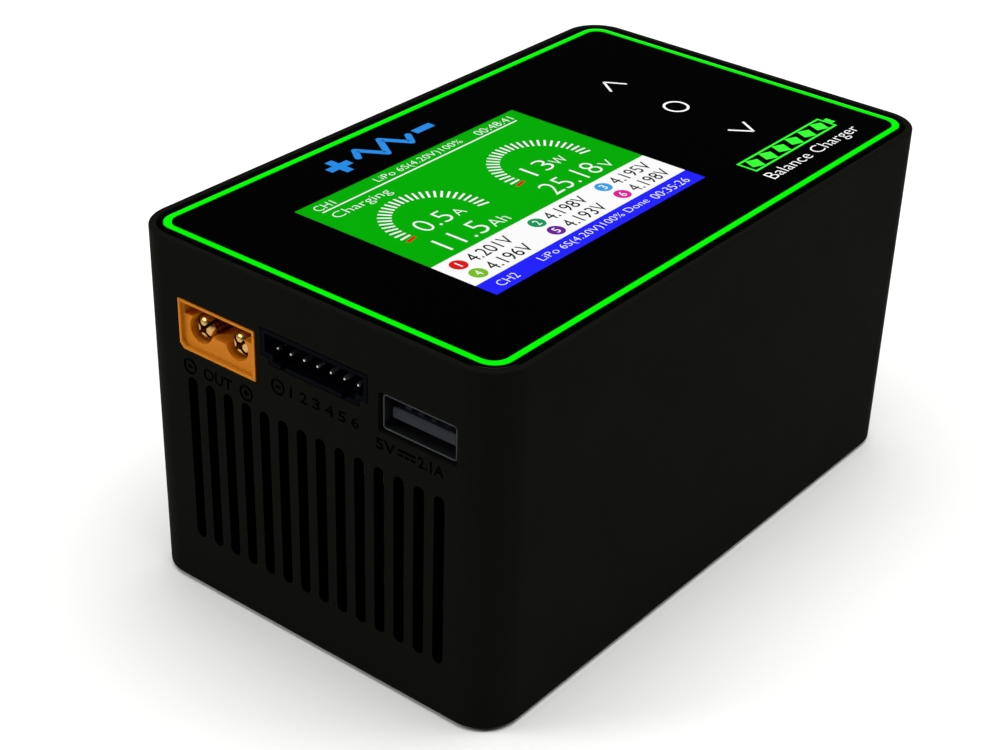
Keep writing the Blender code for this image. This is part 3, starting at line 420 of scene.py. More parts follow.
# shrunk PET sleeve on the capacitors: near black blue, glossy, shrink wrinkles
shrunkSleeve = newMaterial("shrunkSleeve", "#14161F", 0.25)
addGrain(shrunkSleeve, 2.5, 0.02, ("#10121A", "#1A1D28"), (0.2, 0.32), (1.0, 1.0, 0.3))
# PBT fan mouldings: satin black
fanPbt = newMaterial("fanPbt", "#141415", 0.45, 0.0, {"Specular IOR Level": 0.4})
addGrain(fanPbt, 0.35, 0.006, ("#101011", "#1A1A1B"), (0.38, 0.52))
# PVC-covered fan lead: red, slightly wavy skin
leadPvc = newMaterial("leadPvc", "#A01818", 0.45)
addGrain(leadPvc, 0.5, 0.01, ("#901212", "#B02020"), (0.38, 0.52))


def boardMaterial():
    # FR4 board under green solder mask: tracks show as paler, slightly raised lines 0.5 mm wide
    made = newMaterial("maskedBoard", "#0F4A24", 0.35)
    tree = made.node_tree
    shader = tree.nodes["Principled BSDF"]
    place = addNode(tree, "ShaderNodeTexCoord")
    tracks = addNode(tree, "ShaderNodeTexBrick",
                     {"Scale": 250.0, "Mortar Size": 0.08, "Color1": toLinear("#0E4822"),
                      "Color2": toLinear("#0B3F1D"),
                      "Mortar": toLinear("#2A7A42"), "Brick Width": 1.9, "Row Height": 0.45},
                     {"Vector": place.outputs["Object"]})
    cloud = addNode(tree, "ShaderNodeTexNoise", {"Scale": 90.0, "Detail": 3.0},
                    {"Vector": place.outputs["Object"]})
    tone = addNode(tree, "ShaderNodeMix", {"data_type": "RGBA", 7: toLinear("#14532B")},
                   {0: cloud.outputs["Fac"], 6: tracks.outputs["Color"]})
    tree.links.new(tone.outputs[2], shader.inputs["Base Color"])
    bump = addNode(tree, "ShaderNodeBump", {"Distance": 0.00003}, {"Height": tracks.outputs["Fac"]})
    tree.links.new(bump.outputs[0], shader.inputs["Normal"])
    return made


maskedBoard = boardMaterial()
print("materials made")

# case

caseSizes = {
    "cornerRadius": 6.4, "wall": 2.0, "lip": 1.15, "edgeRound": 0.35, "cornerSteps": 20,
    "panelThickness": 1.4, "shelfDrop": (5.0, 6.4), "shelfInset": 3.6, "slotCount": 14, "slotPitch": 3.615,
    "slotWidth": 1.9, "slotMiddle": 0.8, "slotHeights": (9.1, 37.3), "slotRound": 0.22, "legendDepth": 0.22,
    "bossRadius": 4.0, "bossTop": 16.0, "coverTop": 3.0, "screwHole": 1.3, "lipRound": 0.12,
    "railWidth": 1.5, "railLength": 8.0, "windowDepth": 5.0, "socketPlay": 0.15, "usbPlay": 0.35,
    "powerCut": 0.8, "balanceStep": (1.5, 1.1),
}
caseLow, caseHigh = boxOf("case_shell")
frontY, rearY, topZ, bottomZ = caseLow.y, caseHigh.y, caseHigh.z, caseLow.z


def planOutline(inset, radius=None, steps=None):
    low = (caseLow.x + inset, caseLow.y + inset)
    high = (caseHigh.x - inset, caseHigh.y - inset)
    corner = max(caseSizes["cornerRadius"] - inset, 0.6) if radius is None else radius
    return roundedOutline(low, high, corner, steps or caseSizes["cornerSteps"])


def sweptRing(bm, profile):
    # sweeps a closed profile of (inset, z, corner radius) round the case's plan
    skin(bm, [[(u, v, z) for u, v in planOutline(inset, radius)] for inset, z, radius in profile],
         closed=True)


def slotOutline(middle):
    half = caseSizes["slotWidth"] / 2
    low, high = (bottomZ + z for z in caseSizes["slotHeights"])
    upper = arcPoints((middle, high - half), half, 0, 180, 12)
    return upper + arcPoints((middle, low + half), half, 180, 360, 12)


def steppedOutline(low, high, step, growth=0.0):
    # front outline of the balance socket, with its two stepped lower corners
    left, right = low.x - growth, high.x + growth
    bottom, top = low.z - growth, high.z + growth
    stepX, stepZ = step
    return ((left, top), (left, bottom + stepZ), (left + stepX, bottom + stepZ), (left + stepX, bottom),
            (right - stepX, bottom), (right - stepX, bottom + stepZ), (right, bottom + stepZ), (right, top))


def cutCornerOutline(low, high, end, cut, growth=0.0):
    # rectangle with its lower corner on the minus side cut off, as seen from outside that end
    reachX, reachZ = (high.x - low.x) / 2 + growth, (high.z - low.z) / 2 + growth
    middleX, middleZ = (low.x + high.x) / 2, (low.z + high.z) / 2
    outline = ((reachX, -reachZ), (reachX, reachZ), (-reachX, reachZ), (-reachX, -reachZ + cut),
               (-reachX + cut, -reachZ))
    return [(middleX - end * x, middleZ + z) for x, z in outline]


def windowOutline(name, play, radius, steps):
    low, high = boxOf(name)
    return roundedOutline((low.x - play, low.z - play), (high.x + play, high.z + play), radius, steps)


def textMesh(bm, text, box, low, high, place, weight=0.0):
    # text fitted into box (left, bottom, right, top), drawn from low to high, then placed
    curve = bpy.data.curves.new("lettering", "FONT")
    curve.body = text
    curve.extrude = 0.5
    curve.offset = weight
    curve.resolution_u = 4
    holder = bpy.data.objects.new("lettering", curve)
    scene.collection.objects.link(holder)
    bpy.context.view_layer.update()
    mesh = bpy.data.meshes.new_from_object(holder.evaluated_get(bpy.context.evaluated_depsgraph_get()))
    bpy.data.objects.remove(holder)
    xs = [vertex.co.x for vertex in mesh.vertices]
    ys = [vertex.co.y for vertex in mesh.vertices]
    scaleX = (box[2] - box[0]) / (max(xs) - min(xs))
    scaleY = (box[3] - box[1]) / (max(ys) - min(ys))
    for vertex in mesh.vertices:
        x = box[0] + (vertex.co.x - min(xs)) * scaleX
        y = box[1] + (vertex.co.y - min(ys)) * scaleY
        vertex.co = place @ Vector((x, y, low if vertex.co.z < 0 else high))
    letters = bmesh.new()
    letters.from_mesh(mesh)
    bmesh.ops.remove_doubles(letters, verts=letters.verts, dist=0.0005)
    letters.to_mesh(mesh)
    letters.free()
    bm.from_mesh(mesh)
    bpy.data.meshes.remove(mesh)


def placedPrism(bm, outline, low, high, place):
    faces = prism(bm, outline, low, high)
    bmesh.ops.transform(bm, matrix=place, verts=list({vertex for face in faces for vertex in face.verts}))


def bar(bm, start, stop, width, low, high, place):
    # straight stroke between two points of the plane
    start, stop = Vector(start), Vector(stop)
    along = (stop - start).normalized()
    across = Vector((-along.y, along.x)) * width / 2
    placedPrism(bm, (start - across, stop - across, stop + across, start + across), low, high, place)


def hoop(bm, centre, outer, inner, low, high, place, steps=40):
    # flat ring, as one closed solid
    rings = []
    for radius, z in ((outer, low), (outer, high), (inner, high), (inner, low)):
        rings.append([place @ Vector((u, v, z)) for u, v in circle(centre, radius, steps)])
    skin(bm, rings, closed=True)


def disc(bm, centre, radius, low, high, place, steps=32):
    placedPrism(bm, circle(centre, radius, steps), low, high, place)


def buildCase():
    s = caseSizes
    edge = s["edgeRound"]
    stepZ = topZ - s["panelThickness"]
    shelfTop, shelfLow = (topZ - drop for drop in s["shelfDrop"])
    profile = []
    for inset, rise in arcPoints((edge, edge), edge, 270, 180, 5):
        profile.append((inset, bottomZ + rise, None))
    for inset, drop in arcPoints((edge, edge), edge, 180, 270, 5):
        profile.append((inset, topZ - drop, None))
    wall, lip, lipRound, shelfInset = s["wall"], s["lip"], s["lipRound"], s["shelfInset"]
    inside = ((lip - lipRound, topZ), (lip, topZ - lipRound), (lip, stepZ), (wall, stepZ), (wall, shelfTop),
              (shelfInset, shelfTop), (shelfInset, shelfLow), (wall, shelfLow - 1.0), (wall, bottomZ))
    profile += [(inset, z, None) for inset, z in inside]
    case = newPiece("caseShell", meshOf(sweptRing, profile), sparkGrainAbs)

    # screw bosses, and two rails that hold the fan
    screwAt = placeOf("case_screw_1")[2]
    bm = bmesh.new()
    for sx, sy in fourCorners:
        prism(bm, circle((sx * screwAt.x, sy * screwAt.y), s["bossRadius"], 24), s["coverTop"] + 0.3,
              s["bossTop"])
    fanLow, fanHigh = boxOf("fan_frame")
    innerY = rearY - wall
    for x in (fanLow.x - s["railWidth"] - 0.3, fanHigh.x + 0.3):
        block(bm, (x, x + s["railWidth"]), (innerY - s["railLength"], innerY + 0.5),
              (s["coverTop"] + 1.0, fanHigh.z))
    carve(case, bm, operation="UNION")

    def cutEnd(bm, outline, end):
        prism(bm, outline, end - s["windowDepth"], end + s["windowDepth"], facing)

    # one vent slot in each end, then the row of them
    firstSlot = s["slotMiddle"] - s["slotPitch"] * (s["slotCount"] - 1) / 2
    for end in (frontY, rearY):
        slots = newPiece("ventSlots", meshOf(cutEnd, slotOutline(firstSlot), end))
        grow(slots, inARow, {"Count": s["slotCount"], "Step": (s["slotPitch"], 0.0, 0.0)}, sparkGrainAbs)
        carve(case, takenMesh(slots))

    # windows for the sockets, and the screws' holes
    play = s["socketPlay"]
    bm = bmesh.new()
    for name, end in (("output_socket", frontY), ("dc_input_socket", rearY)):
        cutEnd(bm, cutCornerOutline(*boxOf(name), math.copysign(1, end), s["powerCut"], play), end)
    cutEnd(bm, steppedOutline(*boxOf("balance_socket"), s["balanceStep"], play), frontY)
    cutEnd(bm, windowOutline("usb_shell", s["usbPlay"], 0.6, 4), frontY)
    cutEnd(bm, windowOutline("mains_inlet", play, 1.1, 6), rearY)
    for sx, sy in fourCorners:
        prism(bm, circle((sx * screwAt.x, sy * screwAt.y), s["screwHole"], 24), 1.0, s["bossTop"] - 2.0)
    carve(case, bm)

    # soft edge round every opening in the two end walls, away from the case's own outline
    sideRoom, endRoom = 27.0, 1.0
    bm = bmesh.new()
    bm.from_mesh(case.data)
    rims = []
    for edge in bm.edges:
        atWall = all(min(abs(v.co.y - frontY), abs(v.co.y - rearY)) < 0.001 for v in edge.verts)
        inward = all(abs(v.co.x) < sideRoom and bottomZ + endRoom < v.co.z < topZ - endRoom
                     for v in edge.verts)
        if atWall and inward and len(edge.link_faces) == 2 and edge.calc_face_angle(0.0) > 0.6:
            rims.append(edge)
    bmesh.ops.bevel(bm, geom=rims, offset=s["slotRound"], segments=2, profile=0.5, affect="EDGES",
                    clamp_overlap=True)
    bm.to_mesh(case.data)
    bm.free()
    return case


# engraved port legends: polarity marks, OUT, cell numbers and the DC supply mark
legendSizes = {
    "stroke": 0.42, "weight": 0.02, "cutFrom": 0.5, "markRadius": 1.35,
    "marks": ((-23.05, 39.1, False), (-11.7, 39.05, True), (-5.3, 42.65, False)),  # the second one is a plus
    "numberHeight": 1.75, "numberWidth": 1.45, "oneShare": 0.3, "numberFirst": -2.8, "numberPitch": 2.4,
    "numberBottom": 41.85, "fourShift": (0.12, -0.06),
    "outBox": (-20.3, 38.1, -14.5, 40.05), "voltageBox": (12.95, 40.35, 16.6, 42.15),
    "currentBox": (20.5, 40.4, 25.0, 42.2),
    "supplyLine": (16.95, 20.1, 41.7), "supplyDashes": (16.95, 18.08, 19.21), "dashLength": 0.89,
    "dashHeight": 40.95,
}


def buildLegends(case):
    s = legendSizes
    onFront = Matrix.Translation((0.0, frontY, bottomZ)) @ Matrix.Rotation(math.radians(90), 4, "X")
    depth = (-caseSizes["legendDepth"], s["cutFrom"], onFront)
    stroke, radius = s["stroke"], s["markRadius"]
    reach = radius - 2 * stroke
    bm = bmesh.new()
    for x, z, plus in s["marks"]:
        hoop(bm, (x, z), radius, radius - stroke, *depth, 28)
        bar(bm, (x - reach, z), (x + reach, z), stroke, *depth)
        for side in (-1, 1) if plus else ():
            bar(bm, (x, z + side * stroke * 0.51), (x, z + side * reach), stroke, *depth)
    textMesh(bm, "OUT", s["outBox"], *depth, s["weight"])
    bottom, height, width = s["numberBottom"], s["numberHeight"], s["numberWidth"]
    for number in range(6):
        middle = s["numberFirst"] + s["numberPitch"] * number
        half = (s["oneShare"] if number == 0 else 1.0) * width / 2
        box = (middle - half, bottom, middle + half, bottom + height)
        textMesh(bm, str(number + 1), box, *depth, 0.0 if number == 3 else s["weight"])
    textMesh(bm, "5V", s["voltageBox"], *depth, s["weight"])
    textMesh(bm, "2.1A", s["currentBox"], *depth, s["weight"])
    left, right, z = s["supplyLine"]
    bar(bm, (left, z), (right, z), stroke, *depth)
    for start in s["supplyDashes"]:
        bar(bm, (start, s["dashHeight"]), (start + s["dashLength"], s["dashHeight"]), stroke, *depth)
    # the cut letters' faces take the near black painted shade
    carve(case, bm, shadedLegendAbs)
    # the font's 4 doesn't thicken, so it is cut once more beside itself, with the same near black painted
    # shade
    left = s["numberFirst"] + s["numberPitch"] * 3 - width / 2 + s["fourShift"][0]
    bottom += s["fourShift"][1]
    carve(case, meshOf(textMesh, "4", (left, bottom, left + width, bottom + height), *depth), shadedLegendAbs)


case = buildCase()
buildLegends(case)
finishPiece(case, ["case_shell"], limit=40)
print("case done:", len(case.data.polygons), "faces")

# lens, light ring and the printed marks

lensSizes = {
    "inset": 1.35, "edgeRound": 0.15, "inkRoom": 0.06, "ink": 0.02, "ringWidth": 0.95,
    "ringRadii": (3.05, 2.5), "ringDepth": 0.6, "ringPlay": 0.08, "crown": 0.04, "screenPlay": 0.3,
}
lensTop = topZ - lensSizes["inkRoom"]
onTop = Matrix.Rotation(math.radians(90), 4, "Z")  # (u, v) on the lens: u runs to the fan end, v to the left


def boxedRing(low, high, profile):
    # rings round a rectangle: profile is (inset, z, corner radius)
    rings = []
    for inset, z, radius in profile:
        corners = (low.x + inset, low.y + inset), (high.x - inset, high.y - inset)
        rings.append([(u, v, z) for u, v in roundedOutline(*corners, radius, 14)])
    return rings


def buildLens():
    s = lensSizes
    low = boxOf("top_panel")[0]
    edge = s["edgeRound"]
    profile = ((edge, low.z), (0.0, low.z + edge), (0.0, lensTop - edge),
               (edge * 0.3, lensTop - edge * 0.3), (edge, lensTop))
    rings = [[(u, v, z) for u, v in planOutline(s["inset"] + inset)] for inset, z in profile]
    lens = newPiece("topLens", meshOf(skin, rings), printedLens)

    ringLow, ringHigh = boxOf("light_ring")
    outer, inner = s["ringRadii"]
    play = s["ringPlay"]
    floor = topZ - s["ringDepth"] - play
    far = s["ringWidth"] + play
    # groove for the ring, and room for the screen behind the lens
    groove = ((-play, floor, outer + play), (-play, topZ + 1, outer + play), (far, topZ + 1, inner - play),
              (far, floor, inner - play))
    bm = meshOf(skin, boxedRing(ringLow, ringHigh, groove), True)
    screenLow, screenHigh = boxOf("display_screen")
    room = s["screenPlay"]
    block(bm, (screenLow.x - room, screenHigh.x + room), (screenLow.y - room, screenHigh.y + room),
          (low.z - 1.0, screenHigh.z + 0.2))
    carve(lens, bm)
    finishPiece(lens, ["top_panel"])

    crown = s["crown"]
    wide = s["ringWidth"]
    foot, shoulder, bend, mid = topZ - s["ringDepth"], topZ - crown, topZ - crown * 0.4, (outer + inner) / 2
    profile = ((0.0, foot, outer), (0.0, shoulder, outer), (0.12, bend, outer - 0.1),
               (wide * 0.35, topZ, mid),
               (wide * 0.65, topZ, mid), (wide - 0.12, bend, inner + 0.1), (wide, shoulder, inner),
               (wide, foot, inner))
    made = newPiece("lightRing", meshOf(skin, boxedRing(ringLow, ringHigh, profile), True), lightGuide)
    finishPiece(made, ["light_ring"], limit=60)


# marks are printed on the lens; every shape is in lens millimetres from the middle
markSizes = {
    "keyStroke": 0.42, "keyReach": 3.35, "keyRadius": 2.2, "keyTip": (0.45, 1.6), "keyFeet": (-2.4, 2.0),
    "okShift": (0.2, 0.1), "signLevel": 24.75, "zigWidth": 1.15,
    "zigTurns": ((-15.4, 26.9), (-12.6, 22.6), (-9.8, 26.9), (-7.0, 22.6)), "zigEnds": (-17.0, -5.4),
    "signWidth": 1.5, "plusArm": (-23.6, -18.9), "plusParts": (22.4, 25.5), "minusArm": (-3.9, 0.3),
    "battery": (20.4, 44.4, -23.6, -19.8), "outline": 0.4, "cap": (0.1, 1.1, -21.7, 1.7), "cells": 6,
    "cellFirst": 2.5, "cellPitch": 3.8, "cellSlant": 0.45, "cellInset": 0.85, "cellWidth": 2.3,
    "captionBox": (20.0, -27.9, 45.6, -24.9), "captionWeight": -0.012,
}


def buildMarks():
    s = markSizes
    low, high = lensTop, lensTop + lensSizes["ink"]
    springs = [placeOf("touch_spring_" + key)[2] for key in ("up", "ok", "down")]
    bm = bmesh.new()
    for spring, side in ((springs[0], 1), (springs[2], -1)):
        tip = (spring.y + s["keyTip"][0], -spring.x + s["keyTip"][1] * side)
        for foot in s["keyFeet"]:
            bar(bm, (tip[0] + foot, tip[1] - side * s["keyReach"]), tip, s["keyStroke"], low, high, onTop)
    bmesh.ops.remove_doubles(bm, verts=bm.verts, dist=0.0001)
    ok = (springs[1].y + s["okShift"][0], -springs[1].x + s["okShift"][1])
    hoop(bm, ok, s["keyRadius"], s["keyRadius"] - s["keyStroke"], low, high, onTop, 48)
    finishPiece(newPiece("touchMarks", bm, whiteInk))

    # plus, zigzag and minus: the general sign for charging
    bm = bmesh.new()
    level, wide, heavy = s["signLevel"], s["zigWidth"], s["signWidth"]
    zig = [(s["zigEnds"][0], level), *s["zigTurns"], (s["zigEnds"][1], level)]
    for start, stop in zip(zig, zig[1:]):
        bar(bm, start, stop, wide, low, high, onTop)
        disc(bm, start, wide / 2, low, high + 0.001, onTop, 16)
    disc(bm, zig[-1], wide / 2, low, high + 0.001, onTop, 16)
    left, right = s["plusArm"]
    middle = (left + right) / 2
    bar(bm, (left, level), (right, level), heavy, low, high, onTop)
    for v in s["plusParts"]:
        bar(bm, (middle, v), (middle, v + 1.6), heavy, low, high, onTop)
    left, right = s["minusArm"]
    bar(bm, (left, level), (right, level), heavy, low, high, onTop)
    finishPiece(newPiece("chargeSign", bm, blueInk))

    # a battery of six slanting cells, with its outline and end cap
    bm = bmesh.new()
    left, right, bottom, top = s["battery"]
    thick = s["outline"]
    for v in (bottom + thick / 2, top - thick / 2):
        bar(bm, (left, v), (right, v), thick, low, high, onTop)
    for u in (left + thick / 2, right - thick / 2):
        bar(bm, (u, bottom + thick), (u, top - thick), thick, low, high, onTop)
    near, far, level, wide = s["cap"]
    bar(bm, (right + near, level), (right + far, level), wide, low, high, onTop)
    slant, inset = s["cellSlant"], s["cellInset"]
    for cell in range(s["cells"]):
        u = left + s["cellFirst"] + s["cellPitch"] * cell
        bar(bm, (u - slant, bottom + inset), (u + slant, top - inset), s["cellWidth"], low, high, onTop)
    finishPiece(newPiece("cellSign", bm, greenInk))
    caption = meshOf(textMesh, "Balance Charger", s["captionBox"], low, high, onTop, s["captionWeight"])
    finishPiece(newPiece("captionPrint", caption, whiteInk))


buildLens()
buildMarks()
print("lens, light ring and marks done")

# the lit picture of the display, millimetres from the lower left corner of its lit area

pictureSizes = {
    "marginLeft": 1.55, "marginRight": 3.1, "marginLow": 1.7, "marginTop": 1.4, "blueTop": 3.73,
    "whiteTop": 11.7, "field": 0.012, "mark": 0.012, "gaugeOuter": 9.1, "gaugeInner": 7.0, "ticks": 29,
    "tickWidth": 0.36, "gaugeStart": 190.0, "gaugeStop": -12.0, "dotRadius": 1.4, "thin": -0.016,
    "rule": (2.55, 47.75, 34.5, 0.28), "numberHalf": (0.42, 0.75), "oneHalf": 0.12,
    "readingBox": (2.25, -1.25, 11.3, 1.2),
}
gaugeCentres = ((12.65, 20.8), (37.61, 20.8))
whiteWords = (
    ("CH1", 2.45, 35.1, 6.25, 36.7), ("LiPo 6S(4.20V)100%", 15.85, 35.0, 35.65, 36.85),
    ("00:48:41", 39.25, 35.1, 47.95, 36.75), ("Charging", 2.75, 31.05, 14.55, 33.4),
    ("0.5", 7.95, 19.16, 14.4, 22.73), ("A", 15.15, 19.26, 17.05, 21.2), ("11.5", 6.05, 13.0, 15.25, 16.94),
    ("Ah", 15.95, 13.0, 19.55, 15.16), ("13", 33.51, 19.16, 38.44, 22.8), ("W", 38.9, 19.26, 41.72, 21.4),
    ("25.18", 30.29, 12.94, 42.55, 16.94), ("V", 43.22, 13.0, 45.45, 15.16), ("CH2", 2.45, 0.95, 6.55, 2.5),
    ("LiPo 6S(4.20V)100% Done", 12.08, 0.9, 37.97, 2.75), ("00:35:26", 39.22, 0.95, 48.08, 2.6),
)
cellRows = (
    ("1", "4.201V", 3.22, 9.41, "#E01818"),
    ("2", "4.198V", 20.9, 9.41, "#0E9A5A"),
    ("3", "4.195V", 37.15, 9.41, "#3AA0E8"),
    ("4", "4.196V", 3.22, 5.87, "#7AC020"),
    ("5", "4.193V", 20.9, 5.87, "#6A1FA0"),
    ("6", "4.198V", 37.15, 5.87, "#E0209A"),
)


def buildPicture():
    s = pictureSizes
    low, high = boxOf("display_screen")
    corner = (low.y + s["marginLeft"], -high.x + s["marginLow"])
    width = high.y - low.y - s["marginLeft"] - s["marginRight"]
    height = high.x - low.x - s["marginLow"] - s["marginTop"]
    place = onTop @ Matrix.Translation((corner[0], corner[1], 0.0))
    fieldTop = lensTop + s["field"]
    markLow, markTop = fieldTop, fieldTop + s["mark"]

    # the dots of a colour LCD are too fine to see, so each field is an even light
    fields = (("pictureGreen", "#00AE00", s["whiteTop"], height),
              ("pictureWhite", "#FFFFFF", s["blueTop"], s["whiteTop"]),
              ("pictureBlue", "#2222FF", 0.0, s["blueTop"]))
    for name, colour, bottom, top in fields:
        bm = bmesh.new()
        placedPrism(bm, ((0.0, bottom), (width, bottom), (width, top), (0.0, top)), lensTop, fieldTop, place)
        finishPiece(newPiece(name, bm, litMaterial(name + "Light", colour)))

    brightWhite = litMaterial("pictureWhiteMarks", "#FFFFFF")
    bm = bmesh.new()
    for words, left, bottom, right, top in whiteWords:
        textMesh(bm, words, (left, bottom, right, top), markLow, markTop, place, s["thin"])
    left, right, level, thick = s["rule"]
    bar(bm, (left, level), (right, level), thick, markLow, markTop, place)
    finishPiece(newPiece("pictureWords", bm, brightWhite))

    # gauge ticks: one tick turned about the middle of the gauge
    turn = math.radians((s["gaugeStop"] - s["gaugeStart"]) / (s["ticks"] - 1))
    gauges = bmesh.new()
    firstTicks = bmesh.new()
    toStart = Matrix.Rotation(math.radians(s["gaugeStart"]), 4, "Z")
    for centre in gaugeCentres:
        bm = bmesh.new()
        bar(bm, (s["gaugeInner"], 0.0), (s["gaugeOuter"], 0.0), s["tickWidth"], 0.0, s["mark"], toStart)
        ticks = newPiece("ticks", bm)
        first = {"Count": s["ticks"] - 1, "Centre": (0.0, 0.0, 0.0), "Axis": (0.0, 0.0, 1.0), "Turn": turn}
        ticks.data.transform(Matrix.Rotation(turn, 4, "Z"))
        grow(ticks, roundAnAxis, first, brightWhite)
        ticks.data.transform(place @ Matrix.Translation((centre[0], centre[1], markLow)))
        gauges.from_mesh(ticks.data)
        bpy.data.objects.remove(ticks)
        bar(firstTicks, (s["gaugeInner"], 0.0), (s["gaugeOuter"], 0.0), s["tickWidth"] * 1.5, 0.0, s["mark"],
            place @ Matrix.Translation((centre[0], centre[1], markLow)) @ toStart)
    finishPiece(newPiece("gaugeTicks", gauges, brightWhite))
    redLight = litMaterial("pictureRed", "#E01818")
    finishPiece(newPiece("gaugeZeroTicks", firstTicks, redLight))

    numbers = bmesh.new()
    volts = bmesh.new()
    for number, reading, u, v, colour in cellRows:
        bm = bmesh.new()
        disc(bm, (u, v), s["dotRadius"], markLow, markTop, place)
        finishPiece(newPiece("cellDot_" + number, bm, litMaterial("cellDotLight_" + number, colour)))
        halfU, halfV = s["numberHalf"]
        if number == "1":
            halfU = s["oneHalf"]
        box = (u - halfU, v - halfV, u + halfU, v + halfV)
        textMesh(numbers, number, box, markTop, markTop + s["mark"], place)
        left, bottom, right, top = s["readingBox"]
        textMesh(volts, reading, (u + left, v + bottom, u + right, v + top), markLow, markTop, place)
    finishPiece(newPiece("cellNumbers", numbers, brightWhite))
    finishPiece(newPiece("cellVolts", volts, litMaterial("pictureBlack", "#050505")))


buildPicture()
print("display picture done")

# power sockets: amber housing with two slit gold contacts

powerSizes = {
    "wall": 0.45, "cut": 0.8, "rimDepth": 0.55, "well": 2.2, "bandInset": 0.25, "bandRise": 1.6,
    "bandCut": 0.8, "cavityDepth": 11.0, "edgeRound": 0.1, "pinPlay": 0.1, "slit": 0.5, "hub": 0.6,
    "slitDepth": 5.0, "keyWidth": 1.1, "keyHeight": 0.4, "keyStart": 0.8, "tipDrop": 0.95, "tipRound": 1.15,
    "tailEdge": 0.15,
}


def wellOutline(low, high, spots, s):
    # round room under each contact, open to one band above them
    left, right = sorted(spots, key=lambda spot: spot.x)
    leftX, rightX = low.x + s["wall"] + s["bandInset"], high.x - s["wall"] - s["bandInset"]
    top, rise, cut = high.z - s["wall"], (low.z + high.z) / 2 + s["bandRise"], s["bandCut"]
    outline = [(leftX + cut, top), (leftX, top - cut), (leftX, rise)]
    outline += arcPoints((left.x, left.z), s["well"], 130, 350, 44)
    outline += arcPoints((right.x, right.z), s["well"], 190, 410, 44)
    outline += [(rightX, rise), (rightX, top - cut), (rightX - cut, top)]
    return outline


def buildPowerSocket(name, housingNode, pinNodes, end):
    s = powerSizes
    low, high = boxOf(housingNode)
    mouth, back = (low.y, high.y) if end < 0 else (high.y, low.y)
    floor = mouth - end * s["cavityDepth"]
    pins = [placeOf(pin) for pin in pinNodes]
    outline = cutCornerOutline(low, high, end, s["cut"])
    housing = newPiece(name, meshOf(prism, outline, low.y, high.y, facing), amberNylon)
    rim = cutCornerOutline(low, high, end, s["cut"], -s["wall"])
    carve(housing, meshOf(prism, rim, *sorted((mouth + end, mouth - end * s["rimDepth"])), facing))
    wells = wellOutline(low, high, [pin[2] for pin in pins], s)
    carve(housing, meshOf(prism, wells, *sorted((mouth + end, floor)), facing))
    # polarising rib along the middle of the upper wall, set back from the mouth
    middleX = (low.x + high.x) / 2
    ribX = (middleX - s["keyWidth"] / 2, middleX + s["keyWidth"] / 2)
    ribY = sorted((mouth - end * s["keyStart"], floor - end * 0.1))
    ribTop = high.z - s["wall"] + 0.1
    carve(housing, meshOf(block, ribX, ribY, (ribTop - s["keyHeight"] - 0.1, ribTop)), operation="UNION")
    bm = bmesh.new()
    for _, _, centre, radius in pins:
        hole = circle((centre.x, centre.z), radius + s["pinPlay"], 48)
        prism(bm, hole, *sorted((floor + end, back - end)), facing)
    carve(housing, bm)
    roundEdges(housing, s["edgeRound"])
    finishPiece(housing, [housingNode], limit=50)

    for pin, (pinLow, pinHigh, centre, radius) in zip(pinNodes, pins):
        tip, tail = (pinLow.y, pinHigh.y) if end < 0 else (pinHigh.y, pinLow.y)
        edge, drop = s["tailEdge"], s["tipDrop"]
        profile = [(0.0, tail), (radius - edge, tail), (radius, tail + end * edge),
                   (radius, tip - end * drop)]
        for across, along in arcPoints((0.0, 0.0), 1.0, 0, 85, 8):
            profile.append((radius - s["tipRound"] * (1 - across), tip - end * drop * (1 - along)))
        profile.append((0.0, tip))
        body = meshOf(turned, profile, 48, (centre.x, 0.0, centre.z), facing)
        piece = newPiece(name + "_" + pin.rsplit("_", 1)[1], body, goldFlash)
        # slits across the tip, on the diagonals
        half, hub, reach = s["slit"] / 2, s["hub"], radius + 1.0
        span = sorted((tip + end, tip - end * s["slitDepth"]))
        cross = []
        for quarter in range(4):
            turn = Matrix.Rotation(math.radians(45 + 90 * quarter), 2)
            corners = ((hub, half), (half, hub), (half, reach), (-half, reach))
            cross += [turn @ Vector(corner) for corner in corners]
        carve(piece, meshOf(prism, [(centre.x + u, centre.z + v) for u, v in cross], *span, facing))
        roundEdges(piece, 0.06, 2, 50)
        finishPiece(piece, [pin], limit=50)


buildPowerSocket("outputSocket", "output_socket", ["output_pin_minus", "output_pin_plus"], -1)
buildPowerSocket("dcInputSocket", "dc_input_socket", ["dc_input_pin_minus", "dc_input_pin_plus"], 1)
print("power sockets done")

# balance socket: stepped header with seven square pins

balanceSizes = {
    "step": (1.5, 1.1), "wall": 0.65, "cavityDepth": 8.2, "edgeRound": 0.12, "pins": 7, "taper": 0.5,
    "slotWidth": 1.0, "slotDepth": 5.0, "slotInset": 4.1, "pinPlay": 0.1, "pinEdge": 0.06,
}


